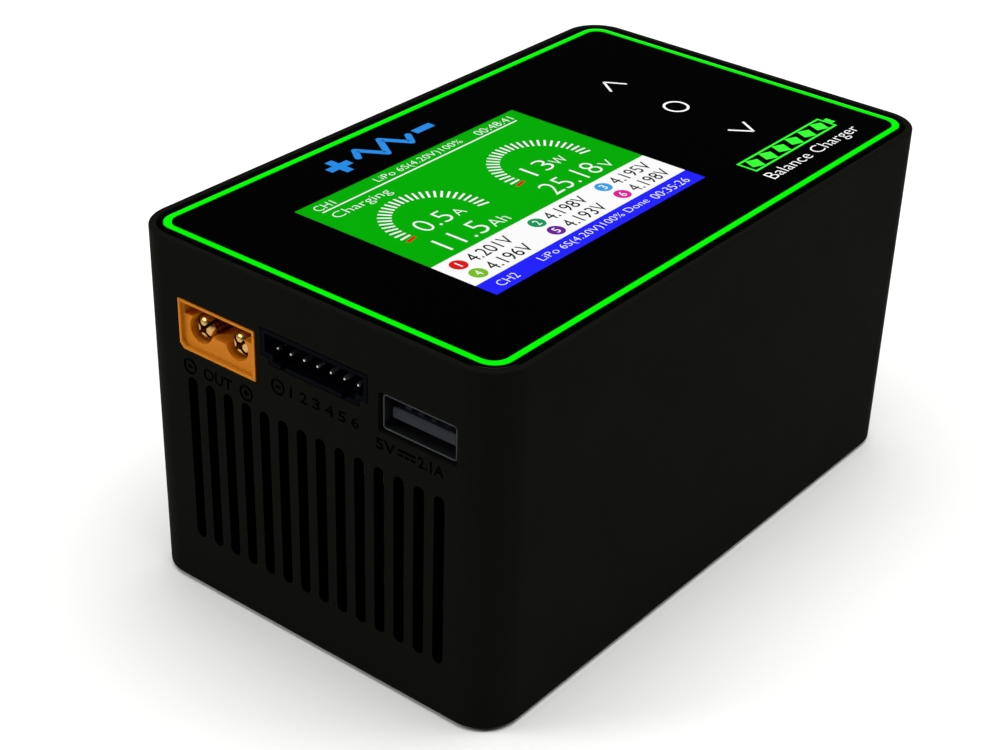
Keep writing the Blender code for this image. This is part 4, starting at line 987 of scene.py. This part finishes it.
def buildBalanceSocket():
    s = balanceSizes
    low, high = boxOf("balance_socket")
    pinLow, pinHigh, pinAt, side = placeOf("balance_pin_0")
    lastLow = boxOf("balance_pin_6")[0]
    mouth = low.y
    floor = mouth + s["cavityDepth"]
    body = meshOf(prism, steppedOutline(low, high, s["step"]), low.y, high.y, facing)
    housing = newPiece("balanceSocket", body, headerNylon)
    carve(housing, meshOf(prism, steppedOutline(low, high, s["step"], -s["wall"]), mouth - 1.0, floor,
                          facing))
    # two key slots in the lower wall, and the holes that the pins stand in
    bm = bmesh.new()
    for x in (low.x + s["slotInset"], high.x - s["slotInset"]):
        block(bm, (x - s["slotWidth"] / 2, x + s["slotWidth"] / 2), (mouth - 1.0, mouth + s["slotDepth"]),
              (low.z - 0.5, low.z + s["wall"] + 0.3))
    half = side + s["pinPlay"]
    pitch = (lastLow.x - pinLow.x) / (s["pins"] - 1)
    for i in range(s["pins"]):
        x = pinAt.x + pitch * i
        block(bm, (x - half, x + half), (floor - 1.0, high.y + 1.0), (pinAt.z - half, pinAt.z + half))
    carve(housing, bm)
    roundEdges(housing, s["edgeRound"])
    finishPiece(housing, ["balance_socket"], limit=50)

    # one pin with a tapered tip, then the row of them
    tip = pinLow.y
    rings = []
    for reach, y in ((side * 0.45, tip), (side * 0.55, tip + 0.08), (side, tip + s["taper"]),
                     (side, pinHigh.y)):
        corners = (pinAt.x - reach, pinAt.z - reach), (pinAt.x + reach, pinAt.z + reach)
        rings.append([(u, y, v) for u, v in roundedOutline(*corners, s["pinEdge"], 2)])
    pins = newPiece("balancePins", meshOf(skin, rings))
    grow(pins, inARow, {"Count": s["pins"], "Step": (pitch, 0.0, 0.0)}, tinPlate)
    finishPiece(pins, [f"balance_pin_{i}" for i in range(s["pins"])])


buildBalanceSocket()
print("balance socket done")

# USB port: stamped shell with sprung tabs, tongue and four contacts

usbSizes = {
    "sheet": 0.35, "corner": 0.6, "lip": 0.12, "tabWidth": 2.2, "tabLength": 4.5, "tabStart": 4.2,
    "tabRise": 0.45, "contacts": 4, "tabOffset": 2.9, "tongueHalf": 1.15, "rootLength": 3.8,
}


def buildUsb():
    s = usbSizes
    low, high = boxOf("usb_shell")
    sheet = s["sheet"]

    def ring(inset, y, radius):
        outline = roundedOutline((low.x + inset, low.z + inset), (high.x - inset, high.z - inset), radius, 6)
        return [(u, y, v) for u, v in outline]

    bm = bmesh.new()
    lip = s["lip"]
    rings = [ring(0.0, high.y, s["corner"]), ring(0.0, low.y + lip, s["corner"]),
             ring(lip * 0.3, low.y + lip * 0.3, s["corner"]),
             ring(lip, low.y, 0.5), ring(sheet - lip, low.y, 0.4), ring(sheet, low.y + lip, 0.3),
             ring(sheet, high.y, 0.3)]
    skin(bm, rings, closed=True)
    shell = newPiece("usbShell", bm, nickelSheet)
    # sprung tabs bent inwards from the upper and lower sheet
    middle = (low.x + high.x) / 2
    bm = bmesh.new()
    for wall, inward in ((high.z - sheet, -1), (low.z + sheet, 1)):
        for side in (-1, 1):
            x = middle + side * s["tabOffset"]
            near, far = low.y + s["tabStart"], low.y + s["tabStart"] + s["tabLength"]
            outside = wall - inward * 0.1
            profile = ((near, outside), (near, wall + inward * 0.12),
                       (far - 1.4, wall + inward * s["tabRise"]),
                       (far, wall + inward * 0.15), (far, outside))
            prism(bm, profile, x - s["tabWidth"] / 2, x + s["tabWidth"] / 2, sideways)
    carve(shell, bm, operation="UNION")
    finishPiece(shell, ["usb_shell"], limit=50)

    tongueLow, tongueHigh = boxOf("usb_tongue")
    contactLow, contactHigh = boxOf("usb_contact_1")
    nextLow = boxOf("usb_contact_2")[0]
    stripLow = contactLow.z - 0.08
    middleZ = (low.z + high.z) / 2
    under, nose = middleZ - s["tongueHalf"], tongueLow.y
    blockY, endY = tongueHigh.y - s["rootLength"], tongueHigh.y
    profile = ((nose, middleZ - 1.0), (nose + 0.25, under), (blockY, under), (blockY, tongueLow.z),
               (endY, tongueLow.z),
               (endY, tongueHigh.z), (blockY, tongueHigh.z), (blockY, stripLow), (nose + 0.35, stripLow),
               (nose, stripLow - 0.3))
    tongue = newPiece("usbTongue", meshOf(prism, profile, tongueLow.x, tongueHigh.x, sideways), tonguePbt)
    roundEdges(tongue, 0.1, 2, 50)
    finishPiece(tongue, ["usb_tongue"], limit=50)

    # one contact: flat blade with a rounded nose and a slightly humped touch point
    rings = []
    left, right, bottom = contactLow.x, contactHigh.x, contactLow.z - 0.02
    for share, rise in ((0.0, 0.0), (0.04, 0.1), (0.12, 0.3), (0.24, 0.48), (0.4, 0.3), (0.6, 0.14),
                        (1.0, 0.1)):
        y = contactLow.y + (contactHigh.y - contactLow.y) * share
        top = contactLow.z + rise
        rings.append([(left, y, bottom), (right, y, bottom), (right, y, top), (left, y, top)])
    contacts = newPiece("usbContacts", meshOf(skin, rings))
    row = {"Count": s["contacts"], "Step": (nextLow.x - contactLow.x, 0.0, 0.0)}
    grow(contacts, inARow, row, tinPlate)
    finishPiece(contacts, [f"usb_contact_{i + 1}" for i in range(s["contacts"])])


buildUsb()
print("USB port done")

# mains inlet at the fan end

inletSizes = {
    "corner": 1.0, "recess": (15.2, 7.6), "recessDepth": 9.0, "edgeRound": 0.25, "dip": 0.55, "waist": 0.6,
    "pinPlay": 0.1,
}


def buildInlet():
    s = inletSizes
    low, high, middle, _ = placeOf("mains_inlet")
    outline = windowOutline("mains_inlet", 0.0, s["corner"], 8)
    housing = newPiece("mainsInlet", meshOf(prism, outline, low.y, high.y, facing), inletNylon)
    width, height = s["recess"]
    floor = high.y - s["recessDepth"]
    # two round lobes that run into each other, as a two-pole inlet has
    lobe, waist = height / 2, s["waist"]
    offset = width / 2 - lobe
    upper, lower = middle.z + lobe - s["dip"], middle.z - lobe + s["dip"]
    outline = arcPoints((middle.x + offset, middle.z), lobe, -90, 90, 20)
    outline += [(middle.x + waist, upper), (middle.x - waist, upper)]
    outline += arcPoints((middle.x - offset, middle.z), lobe, 90, 270, 20)
    outline += [(middle.x - waist, lower), (middle.x + waist, lower)]
    carve(housing, meshOf(prism, outline, floor, high.y + 1.0, facing))
    bm = bmesh.new()
    for pin in ("mains_pin_left", "mains_pin_right"):
        _, _, centre, radius = placeOf(pin)
        prism(bm, circle((centre.x, centre.z), radius + s["pinPlay"], 36), low.y - 1.0, floor + 1.0, facing)
    carve(housing, bm)
    roundEdges(housing, s["edgeRound"], 3, 40)
    finishPiece(housing, ["mains_inlet"], limit=50)
    for name, pin in (("mainsPinLeft", "mains_pin_left"), ("mainsPinRight", "mains_pin_right")):
        pinLow, pinHigh, centre, radius = placeOf(pin)
        profile = [(0.0, pinLow.y), (radius, pinLow.y), (radius, pinHigh.y - radius)]
        for fall, rise in arcPoints((0.0, 0.0), radius, 0, 90, 8)[1:-1]:
            profile.append((fall, pinHigh.y - radius + rise))
        profile.append((0.0, pinHigh.y))
        body = meshOf(turned, profile, 32, (centre.x, 0.0, centre.z), facing)
        finishPiece(newPiece(name, body, tinPlate), [pin], limit=50)


buildInlet()
print("mains inlet done")

# underside: cover, feet and screws

coverSizes = {
    "inset": 2.25, "edgeRound": 0.3, "plate": 2.4, "screwWell": 2.8, "wellDepth": 1.5, "shankHole": 1.5,
    "footPlay": 0.2, "postRadius": 2.5, "shank": 1.2, "headHeight": 1.25, "headRound": 0.9,
    "threadPitch": 0.8, "crossArm": 0.38, "crossReach": 1.45, "crossDepth": 1.0,
}
boardPosts = ((25.0, -39.0), (25.0, 34.0), (-25.0, -39.0), (-25.0, 34.0))


def buildUnderside():
    s = coverSizes
    low = boxOf("bottom_cover")[0]
    boardLow = boxOf("power_board")[0]
    _, footHigh, footAt, footRadius = placeOf("rubber_foot_1")
    screwLow, screwHigh, screwAt, headRadius = placeOf("case_screw_1")
    plateTop = low.z + s["plate"]
    edge = s["edgeRound"]
    profile = ((edge, low.z), (edge * 0.3, low.z + edge * 0.3), (0.0, low.z + edge), (0.0, plateTop))
    rings = [[(u, v, z) for u, v in planOutline(s["inset"] + inset)] for inset, z in profile]
    cover = newPiece("bottomCover", meshOf(skin, rings), sparkGrainAbs)
    bm = bmesh.new()
    for x, y in boardPosts:
        prism(bm, circle((x, y), s["postRadius"], 24), plateTop - 0.5, boardLow.z - 0.3)
    carve(cover, bm, operation="UNION")
    bm = bmesh.new()
    for sx, sy in fourCorners:
        x, y = sx * screwAt.x, sy * screwAt.y
        wide, narrow, wellTop = s["screwWell"], s["shankHole"], low.z + s["wellDepth"]
        stepped = ((0.0, low.z - 1.0), (wide, low.z - 1.0), (wide, wellTop), (narrow, wellTop),
                   (narrow, plateTop + 1.0), (0.0, plateTop + 1.0))
        turned(bm, stepped, 40, (x, y, 0.0))
        well = circle((sx * footAt.x, sy * footAt.y), footRadius + s["footPlay"], 60)
        prism(bm, well, low.z - 1.0, footHigh.z + 0.15)
    carve(cover, bm)
    finishPiece(cover, ["bottom_cover"], limit=40)

    # one foot at the middle, then the four of them: domed edge and a shallow dished sole
    bm = bmesh.new()
    profile = ((0.0, 0.12), (footRadius - 1.6, 0.1), (footRadius - 1.1, 0.0), (footRadius - 0.5, 0.0),
               (footRadius - 0.15, 0.12),
               (footRadius, 0.42), (footRadius, footHigh.z), (0.0, footHigh.z))
    turned(bm, profile, 48)
    feet = newPiece("rubberFeet", bm)
    spread = {"Length": footAt.y * 2, "Width": footAt.x * 2}
    grow(feet, atCorners, spread, footRubber)
    finishPiece(feet, [f"rubber_foot_{i}" for i in (1, 2, 3, 4)], limit=50)

    # pan-head screw with a cross recess
    headLow, headRound, shank = screwLow.z, s["headRound"], s["shank"]
    shankLow = headLow + s["headHeight"]
    profile = [(0.0, headLow)]
    profile += arcPoints((headRadius - headRound, headLow + headRound), headRound, 270, 360, 6)
    profile += [(headRadius, shankLow), (shank * 0.8, shankLow)]
    thread = shankLow + 0.4
    while thread < screwHigh.z - 1.4:
        profile += [(shank * 0.78, thread), (shank, thread + 0.25), (shank * 0.78, thread + 0.5)]
        thread += s["threadPitch"]
    profile += [(shank * 0.78, screwHigh.z - 0.9), (0.3, screwHigh.z), (0.0, screwHigh.z)]
    screws = newPiece("caseScrews", meshOf(turned, profile, 28))
    cross = plusOutline(s["crossArm"], s["crossReach"])
    ends = ((1.0, headLow - 0.5), (0.55, headLow + s["crossDepth"]))  # the recess narrows to its floor
    carve(screws, meshOf(skin, [[(u * share, v * share, z) for u, v in cross] for share, z in ends]))
    spread = {"Length": screwAt.y * 2, "Width": screwAt.x * 2}
    grow(screws, atCorners, spread, blackZinc)
    finishPiece(screws, [f"case_screw_{i}" for i in (1, 2, 3, 4)], limit=50)


buildUnderside()
print("underside done")

# fan: square frame with arms and motor seat, seven-blade rotor

fanSizes = {
    "corner": 2.6, "bore": 19.0, "hub": 8.0, "blades": 7, "hole": 2.1, "holeInset": 4.0, "armWidth": 2.4,
    "seatRadius": 7.8, "seatDepth": 1.5, "statorRadius": 6.4, "shaftHole": 1.1, "bladeHalf": 0.42,
    "camber": 0.35, "ringSteps": 14,
}
bladeStations = ((7.5, 0.0, 6.2, 42.0), (10.2, 4.8, 7.7, 38.0), (13.0, 10.0, 9.0, 34.0),
                 (15.8, 14.0, 10.2, 30.0),
                 (18.25, 17.0, 11.0, 27.0))  # radius, sweep, chord, pitch


def buildFan():
    s = fanSizes
    low, high, middle, half = placeOf("fan_frame")
    depth = high.y - low.y
    front, rear = -depth / 2, depth / 2
    place, axis = Matrix.Translation(middle), (0.0, 0.0)
    outline = roundedOutline((-half, -half), (half, half), s["corner"], 8)
    frameRing = newPiece("fanFrame", meshOf(prism, outline, front, rear, facing), fanPbt)
    carve(frameRing, meshOf(prism, circle(axis, s["bore"], 120), front - 1.0, rear + 1.0, facing))
    # screw holes through the corners
    bm = bmesh.new()
    at = half - s["holeInset"]
    for sx, sy in fourCorners:
        prism(bm, circle((sx * at, sy * at), s["hole"], 36), front - 1.0, rear + 1.0, facing)
    carve(frameRing, bm)
    # motor seat with its stator, the four diagonal arms and the shaft's hole
    seat, stator, seatTop = s["seatRadius"], s["statorRadius"], front + s["seatDepth"]
    profile = ((0.0, front), (seat, front), (seat, seatTop), (stator, seatTop), (stator, 1.5), (0.0, 1.5))
    carve(frameRing, meshOf(turned, profile, 56, (0.0, 0.0, 0.0), facing), operation="UNION")
    arms = [((u - v) * math.sqrt(0.5), (u + v) * math.sqrt(0.5))
            for u, v in plusOutline(s["armWidth"] / 2, half - 0.6)]
    carve(frameRing, meshOf(prism, arms, front + 0.1, seatTop - 0.2, facing), operation="UNION")
    carve(frameRing, meshOf(prism, circle(axis, s["shaftHole"], 24), front + 0.8, 3.0, facing))
    roundEdges(frameRing, 0.15, 2, 50)
    frameRing.data.transform(place)
    finishPiece(frameRing, ["fan_frame"], limit=50)

    # cup over the stator with a small rounded edge, and the shaft down its middle
    hub = s["hub"]
    profile = [(0.0, front + 1.4), (1.0, front + 1.4), (1.0, 2.0), (6.9, 2.0), (6.9, seatTop + 0.5),
               (hub, seatTop + 0.5)]
    profile += arcPoints((hub - 0.7, 3.4), 0.7, 0, 90, 6)
    profile += [(5.6, 4.1), (5.4, 3.9), (2.2, 3.9), (2.0, 4.1), (0.0, 4.1)]
    cup = newPiece("fanRotor", meshOf(turned, profile, 72, (0.0, 0.0, 0.0), facing), fanPbt)

    # one cambered blade, then the seven of them round the shaft
    bm = bmesh.new()
    rings = []
    for radius, sweep, chord, pitch in bladeStations:
        turn, lean = math.radians(sweep), math.radians(pitch)
        ring = []
        for step in range(s["ringSteps"]):
            angle = 2 * math.pi * step / s["ringSteps"]
            along = chord * 0.5 * math.cos(angle)
            camber = s["camber"] * (1 - (2 * along / chord) ** 2)
            thick = s["bladeHalf"] * math.sin(angle) * (0.65 + 0.35 * math.cos(angle / 2) ** 2)
            across = thick + camber - 0.2
            around = along * math.cos(lean) - across * math.sin(lean)
            height = along * math.sin(lean) + across * math.cos(lean) + 0.6
            spot = turn + around / radius
            ring.append((radius * math.cos(spot), height, radius * math.sin(spot)))
        rings.append(ring)
    skin(bm, rings)
    bmesh.ops.triangulate(bm, faces=[face for face in bm.faces if len(face.verts) > 4])
    blades = newPiece("blades", bm)
    around = {"Count": s["blades"], "Centre": (0.0, 0.0, 0.0), "Axis": (0.0, 1.0, 0.0),
              "Turn": 2 * math.pi / s["blades"]}
    grow(blades, roundAnAxis, around, fanPbt)
    carve(cup, takenMesh(blades), operation="UNION")
    cup.data.transform(place)
    finishPiece(cup, ["fan_rotor"], body="fan_rotor", limit=45)


buildFan()
print("fan done")

# wound ring chokes on the power board

chokeSizes = {"wire": 0.5, "turns": 34, "gapTurns": 2, "coreSteps": 48}


def buildChoke(name, node):
    s = chokeSizes
    low, high, middle, outer = placeOf(node)
    depth = (high.y - low.y) / 2
    wire, spread = s["wire"], s["wire"] * 0.95
    tube = outer * 0.3
    ringRadius = outer - tube
    coreU, coreV = tube - 2 * wire, depth - 2 * wire
    profile = roundedOutline((ringRadius - coreU, -coreV), (ringRadius + coreU, coreV), coreU * 0.5, 4)
    rings = []
    for i in range(s["coreSteps"]):
        angle = 2 * math.pi * i / s["coreSteps"]
        rings.append([(u * math.cos(angle), v, u * math.sin(angle)) for u, v in profile])
    core = newPiece(name + "Core", meshOf(skin, rings, True), sinteredFerrite)
    core.data.transform(Matrix.Translation(middle))
    finishPiece(core, limit=50)
    # one turn of wire round the core, then the winding
    reachU, reachV = coreU + wire, coreV + wire
    path = roundedOutline((ringRadius - coreU - wire, -reachV), (ringRadius + reachU, reachV),
                          coreU * 0.5 + wire, 4)
    count = len(path)
    rings = []
    for i, (u, v) in enumerate(path):
        before, after = path[i - 1], path[(i + 1) % count]
        along = Vector((after[0] - before[0], after[1] - before[1])).normalized()
        out = Vector((along.y, -along.x))
        ring = []
        for step in range(6):
            angle = math.pi * step / 3
            lift, side = spread * math.cos(angle), spread * math.sin(angle)
            ring.append((u + out.x * lift, v + out.y * lift, side))
        rings.append(ring)
    winding = newPiece(name + "Winding", meshOf(skin, rings, True))
    turns = {"Count": s["turns"] - s["gapTurns"], "Centre": (0.0, 0.0, 0.0), "Axis": (0.0, 1.0, 0.0),
             "Turn": 2 * math.pi / s["turns"]}
    grow(winding, roundAnAxis, turns, enamelledCopper)
    winding.data.transform(Matrix.Translation(middle))
    finishPiece(winding, [node], limit=60)


buildChoke("filterChoke1", "filter_choke_1")
buildChoke("filterChoke2", "filter_choke_2")
print("chokes done")

# the pieces inside keep their CAD shapes and take their real finishes

finishes = {
    maskedBoard: ("main_board", "power_board", "touch_board"),
    nickelSheet: ("display_tray",),
    printedLens: ("display_screen",),
    millAluminium: ("heatsink",),
    sinteredFerrite: ("transformer_core", "boost_choke_1", "boost_choke_2"),
    windingTape: ("transformer_winding",),
    shrunkSleeve: ("bulk_capacitor_1", "bulk_capacitor_2", "output_capacitor"),
    fanPbt: ("buzzer",),
    leadPvc: ("fan_lead",),
    tinPlate: ("touch_spring_up", "touch_spring_ok", "touch_spring_down"),
}
for finish, names in finishes.items():
    for name in names:
        mesh = nodes[name].data
        mesh.materials.clear()
        mesh.materials.append(finish)
print("inner pieces painted")

# floor, light and camera

stageSizes = {"backdropRadius": 2.0, "backdropHeight": 0.42, "cove": 0.25}


def buildStage():
    s = stageSizes
    # painted studio floor and low round wall: warm white, even
    paint = newMaterial("studioPaint", "#F2F2F0", 0.9, 0.0, {"Specular IOR Level": 0.1})
    bm = bmesh.new()
    steps = 96
    cove = s["cove"]
    profile = [(0.3, 0.0), (1.0, 0.0), (s["backdropRadius"] - cove, 0.0)]
    for inset, height in arcPoints((s["backdropRadius"] - cove, cove), cove, 270, 360, 8)[1:]:
        profile.append((inset, height))
    profile.append((s["backdropRadius"], s["backdropHeight"]))
    middle = bm.verts.new((0.0, 0.0, 0.0))
    rings = []
    for radius, height in profile:
        rings.append([bm.verts.new((x, y, height)) for x, y in circle((0.0, 0.0), radius, steps)])
    for i in range(steps):
        bm.faces.new((middle, rings[0][i], rings[0][(i + 1) % steps]))
    for low, high in zip(rings, rings[1:]):
        for i in range(steps):
            j = (i + 1) % steps
            bm.faces.new((low[i], high[i], high[j], low[j]))
    mesh = bpy.data.meshes.new("studioFloor")
    bm.to_mesh(mesh)
    bm.free()
    mesh.materials.append(paint)
    mesh.shade_smooth()
    floor = bpy.data.objects.new("studioFloor", mesh)
    scene.collection.objects.link(floor)


# soft boxes: place, aim, size, watts; the overhead one stays clear of what the lens mirrors to the camera
softBoxes = (
    ("overheadBox", (0.1, 0.1, 1.3), (0.05, 0.05, 0.0), 1.6, 25.0),
    ("frontBox", (-0.95, -0.9, 0.75), (0.0, 0.0, 0.03), 0.7, 9.0),
    ("sideBox", (0.95, 0.9, 0.75), (0.0, 0.0, 0.03), 0.7, 4.0),
)


def buildLight():
    world = bpy.data.worlds.new("dimRoom")
    scene.world = world
    world.use_nodes = True
    background = world.node_tree.nodes["Background"]
    background.inputs["Color"].default_value = toLinear("#808488")
    background.inputs["Strength"].default_value = 0.06
    for name, place, aim, size, watts in softBoxes:
        light = bpy.data.lights.new(name, "AREA")
        light.shape = "DISK"
        light.size = size
        light.energy = watts
        lamp = bpy.data.objects.new(name, light)
        scene.collection.objects.link(lamp)
        lamp.location = place
        lamp.rotation_euler = (Vector(place) - Vector(aim)).to_track_quat("Z", "Y").to_euler()
    scene.view_settings.view_transform = "Standard"


# seen from front right and above, as a hand-held camera would, with a slight tilt
cameraSizes = {
    "place": (0.167638, -0.227035, 0.189122), "turn": 37.183, "look": 31.958, "roll": 2.227, "lens": 72.74,
    "shift": (-0.02, 0.05),
}


def buildCamera():
    s = cameraSizes
    camera = bpy.data.objects.new("camera", bpy.data.cameras.new("camera"))
    scene.collection.objects.link(camera)
    camera.data.lens = s["lens"]
    camera.data.sensor_width = 36.0
    camera.data.shift_x, camera.data.shift_y = s["shift"]
    camera.data.clip_start = 0.01
    turn = Matrix.Rotation(math.radians(s["turn"]), 4, "Z")
    look = Matrix.Rotation(math.radians(90 - s["look"]), 4, "X")
    roll = Matrix.Rotation(math.radians(s["roll"]), 4, "Z")
    camera.matrix_world = Matrix.Translation(s["place"]) @ turn @ look @ roll
    scene.camera = camera


buildStage()
buildLight()
buildCamera()
print("stage done")
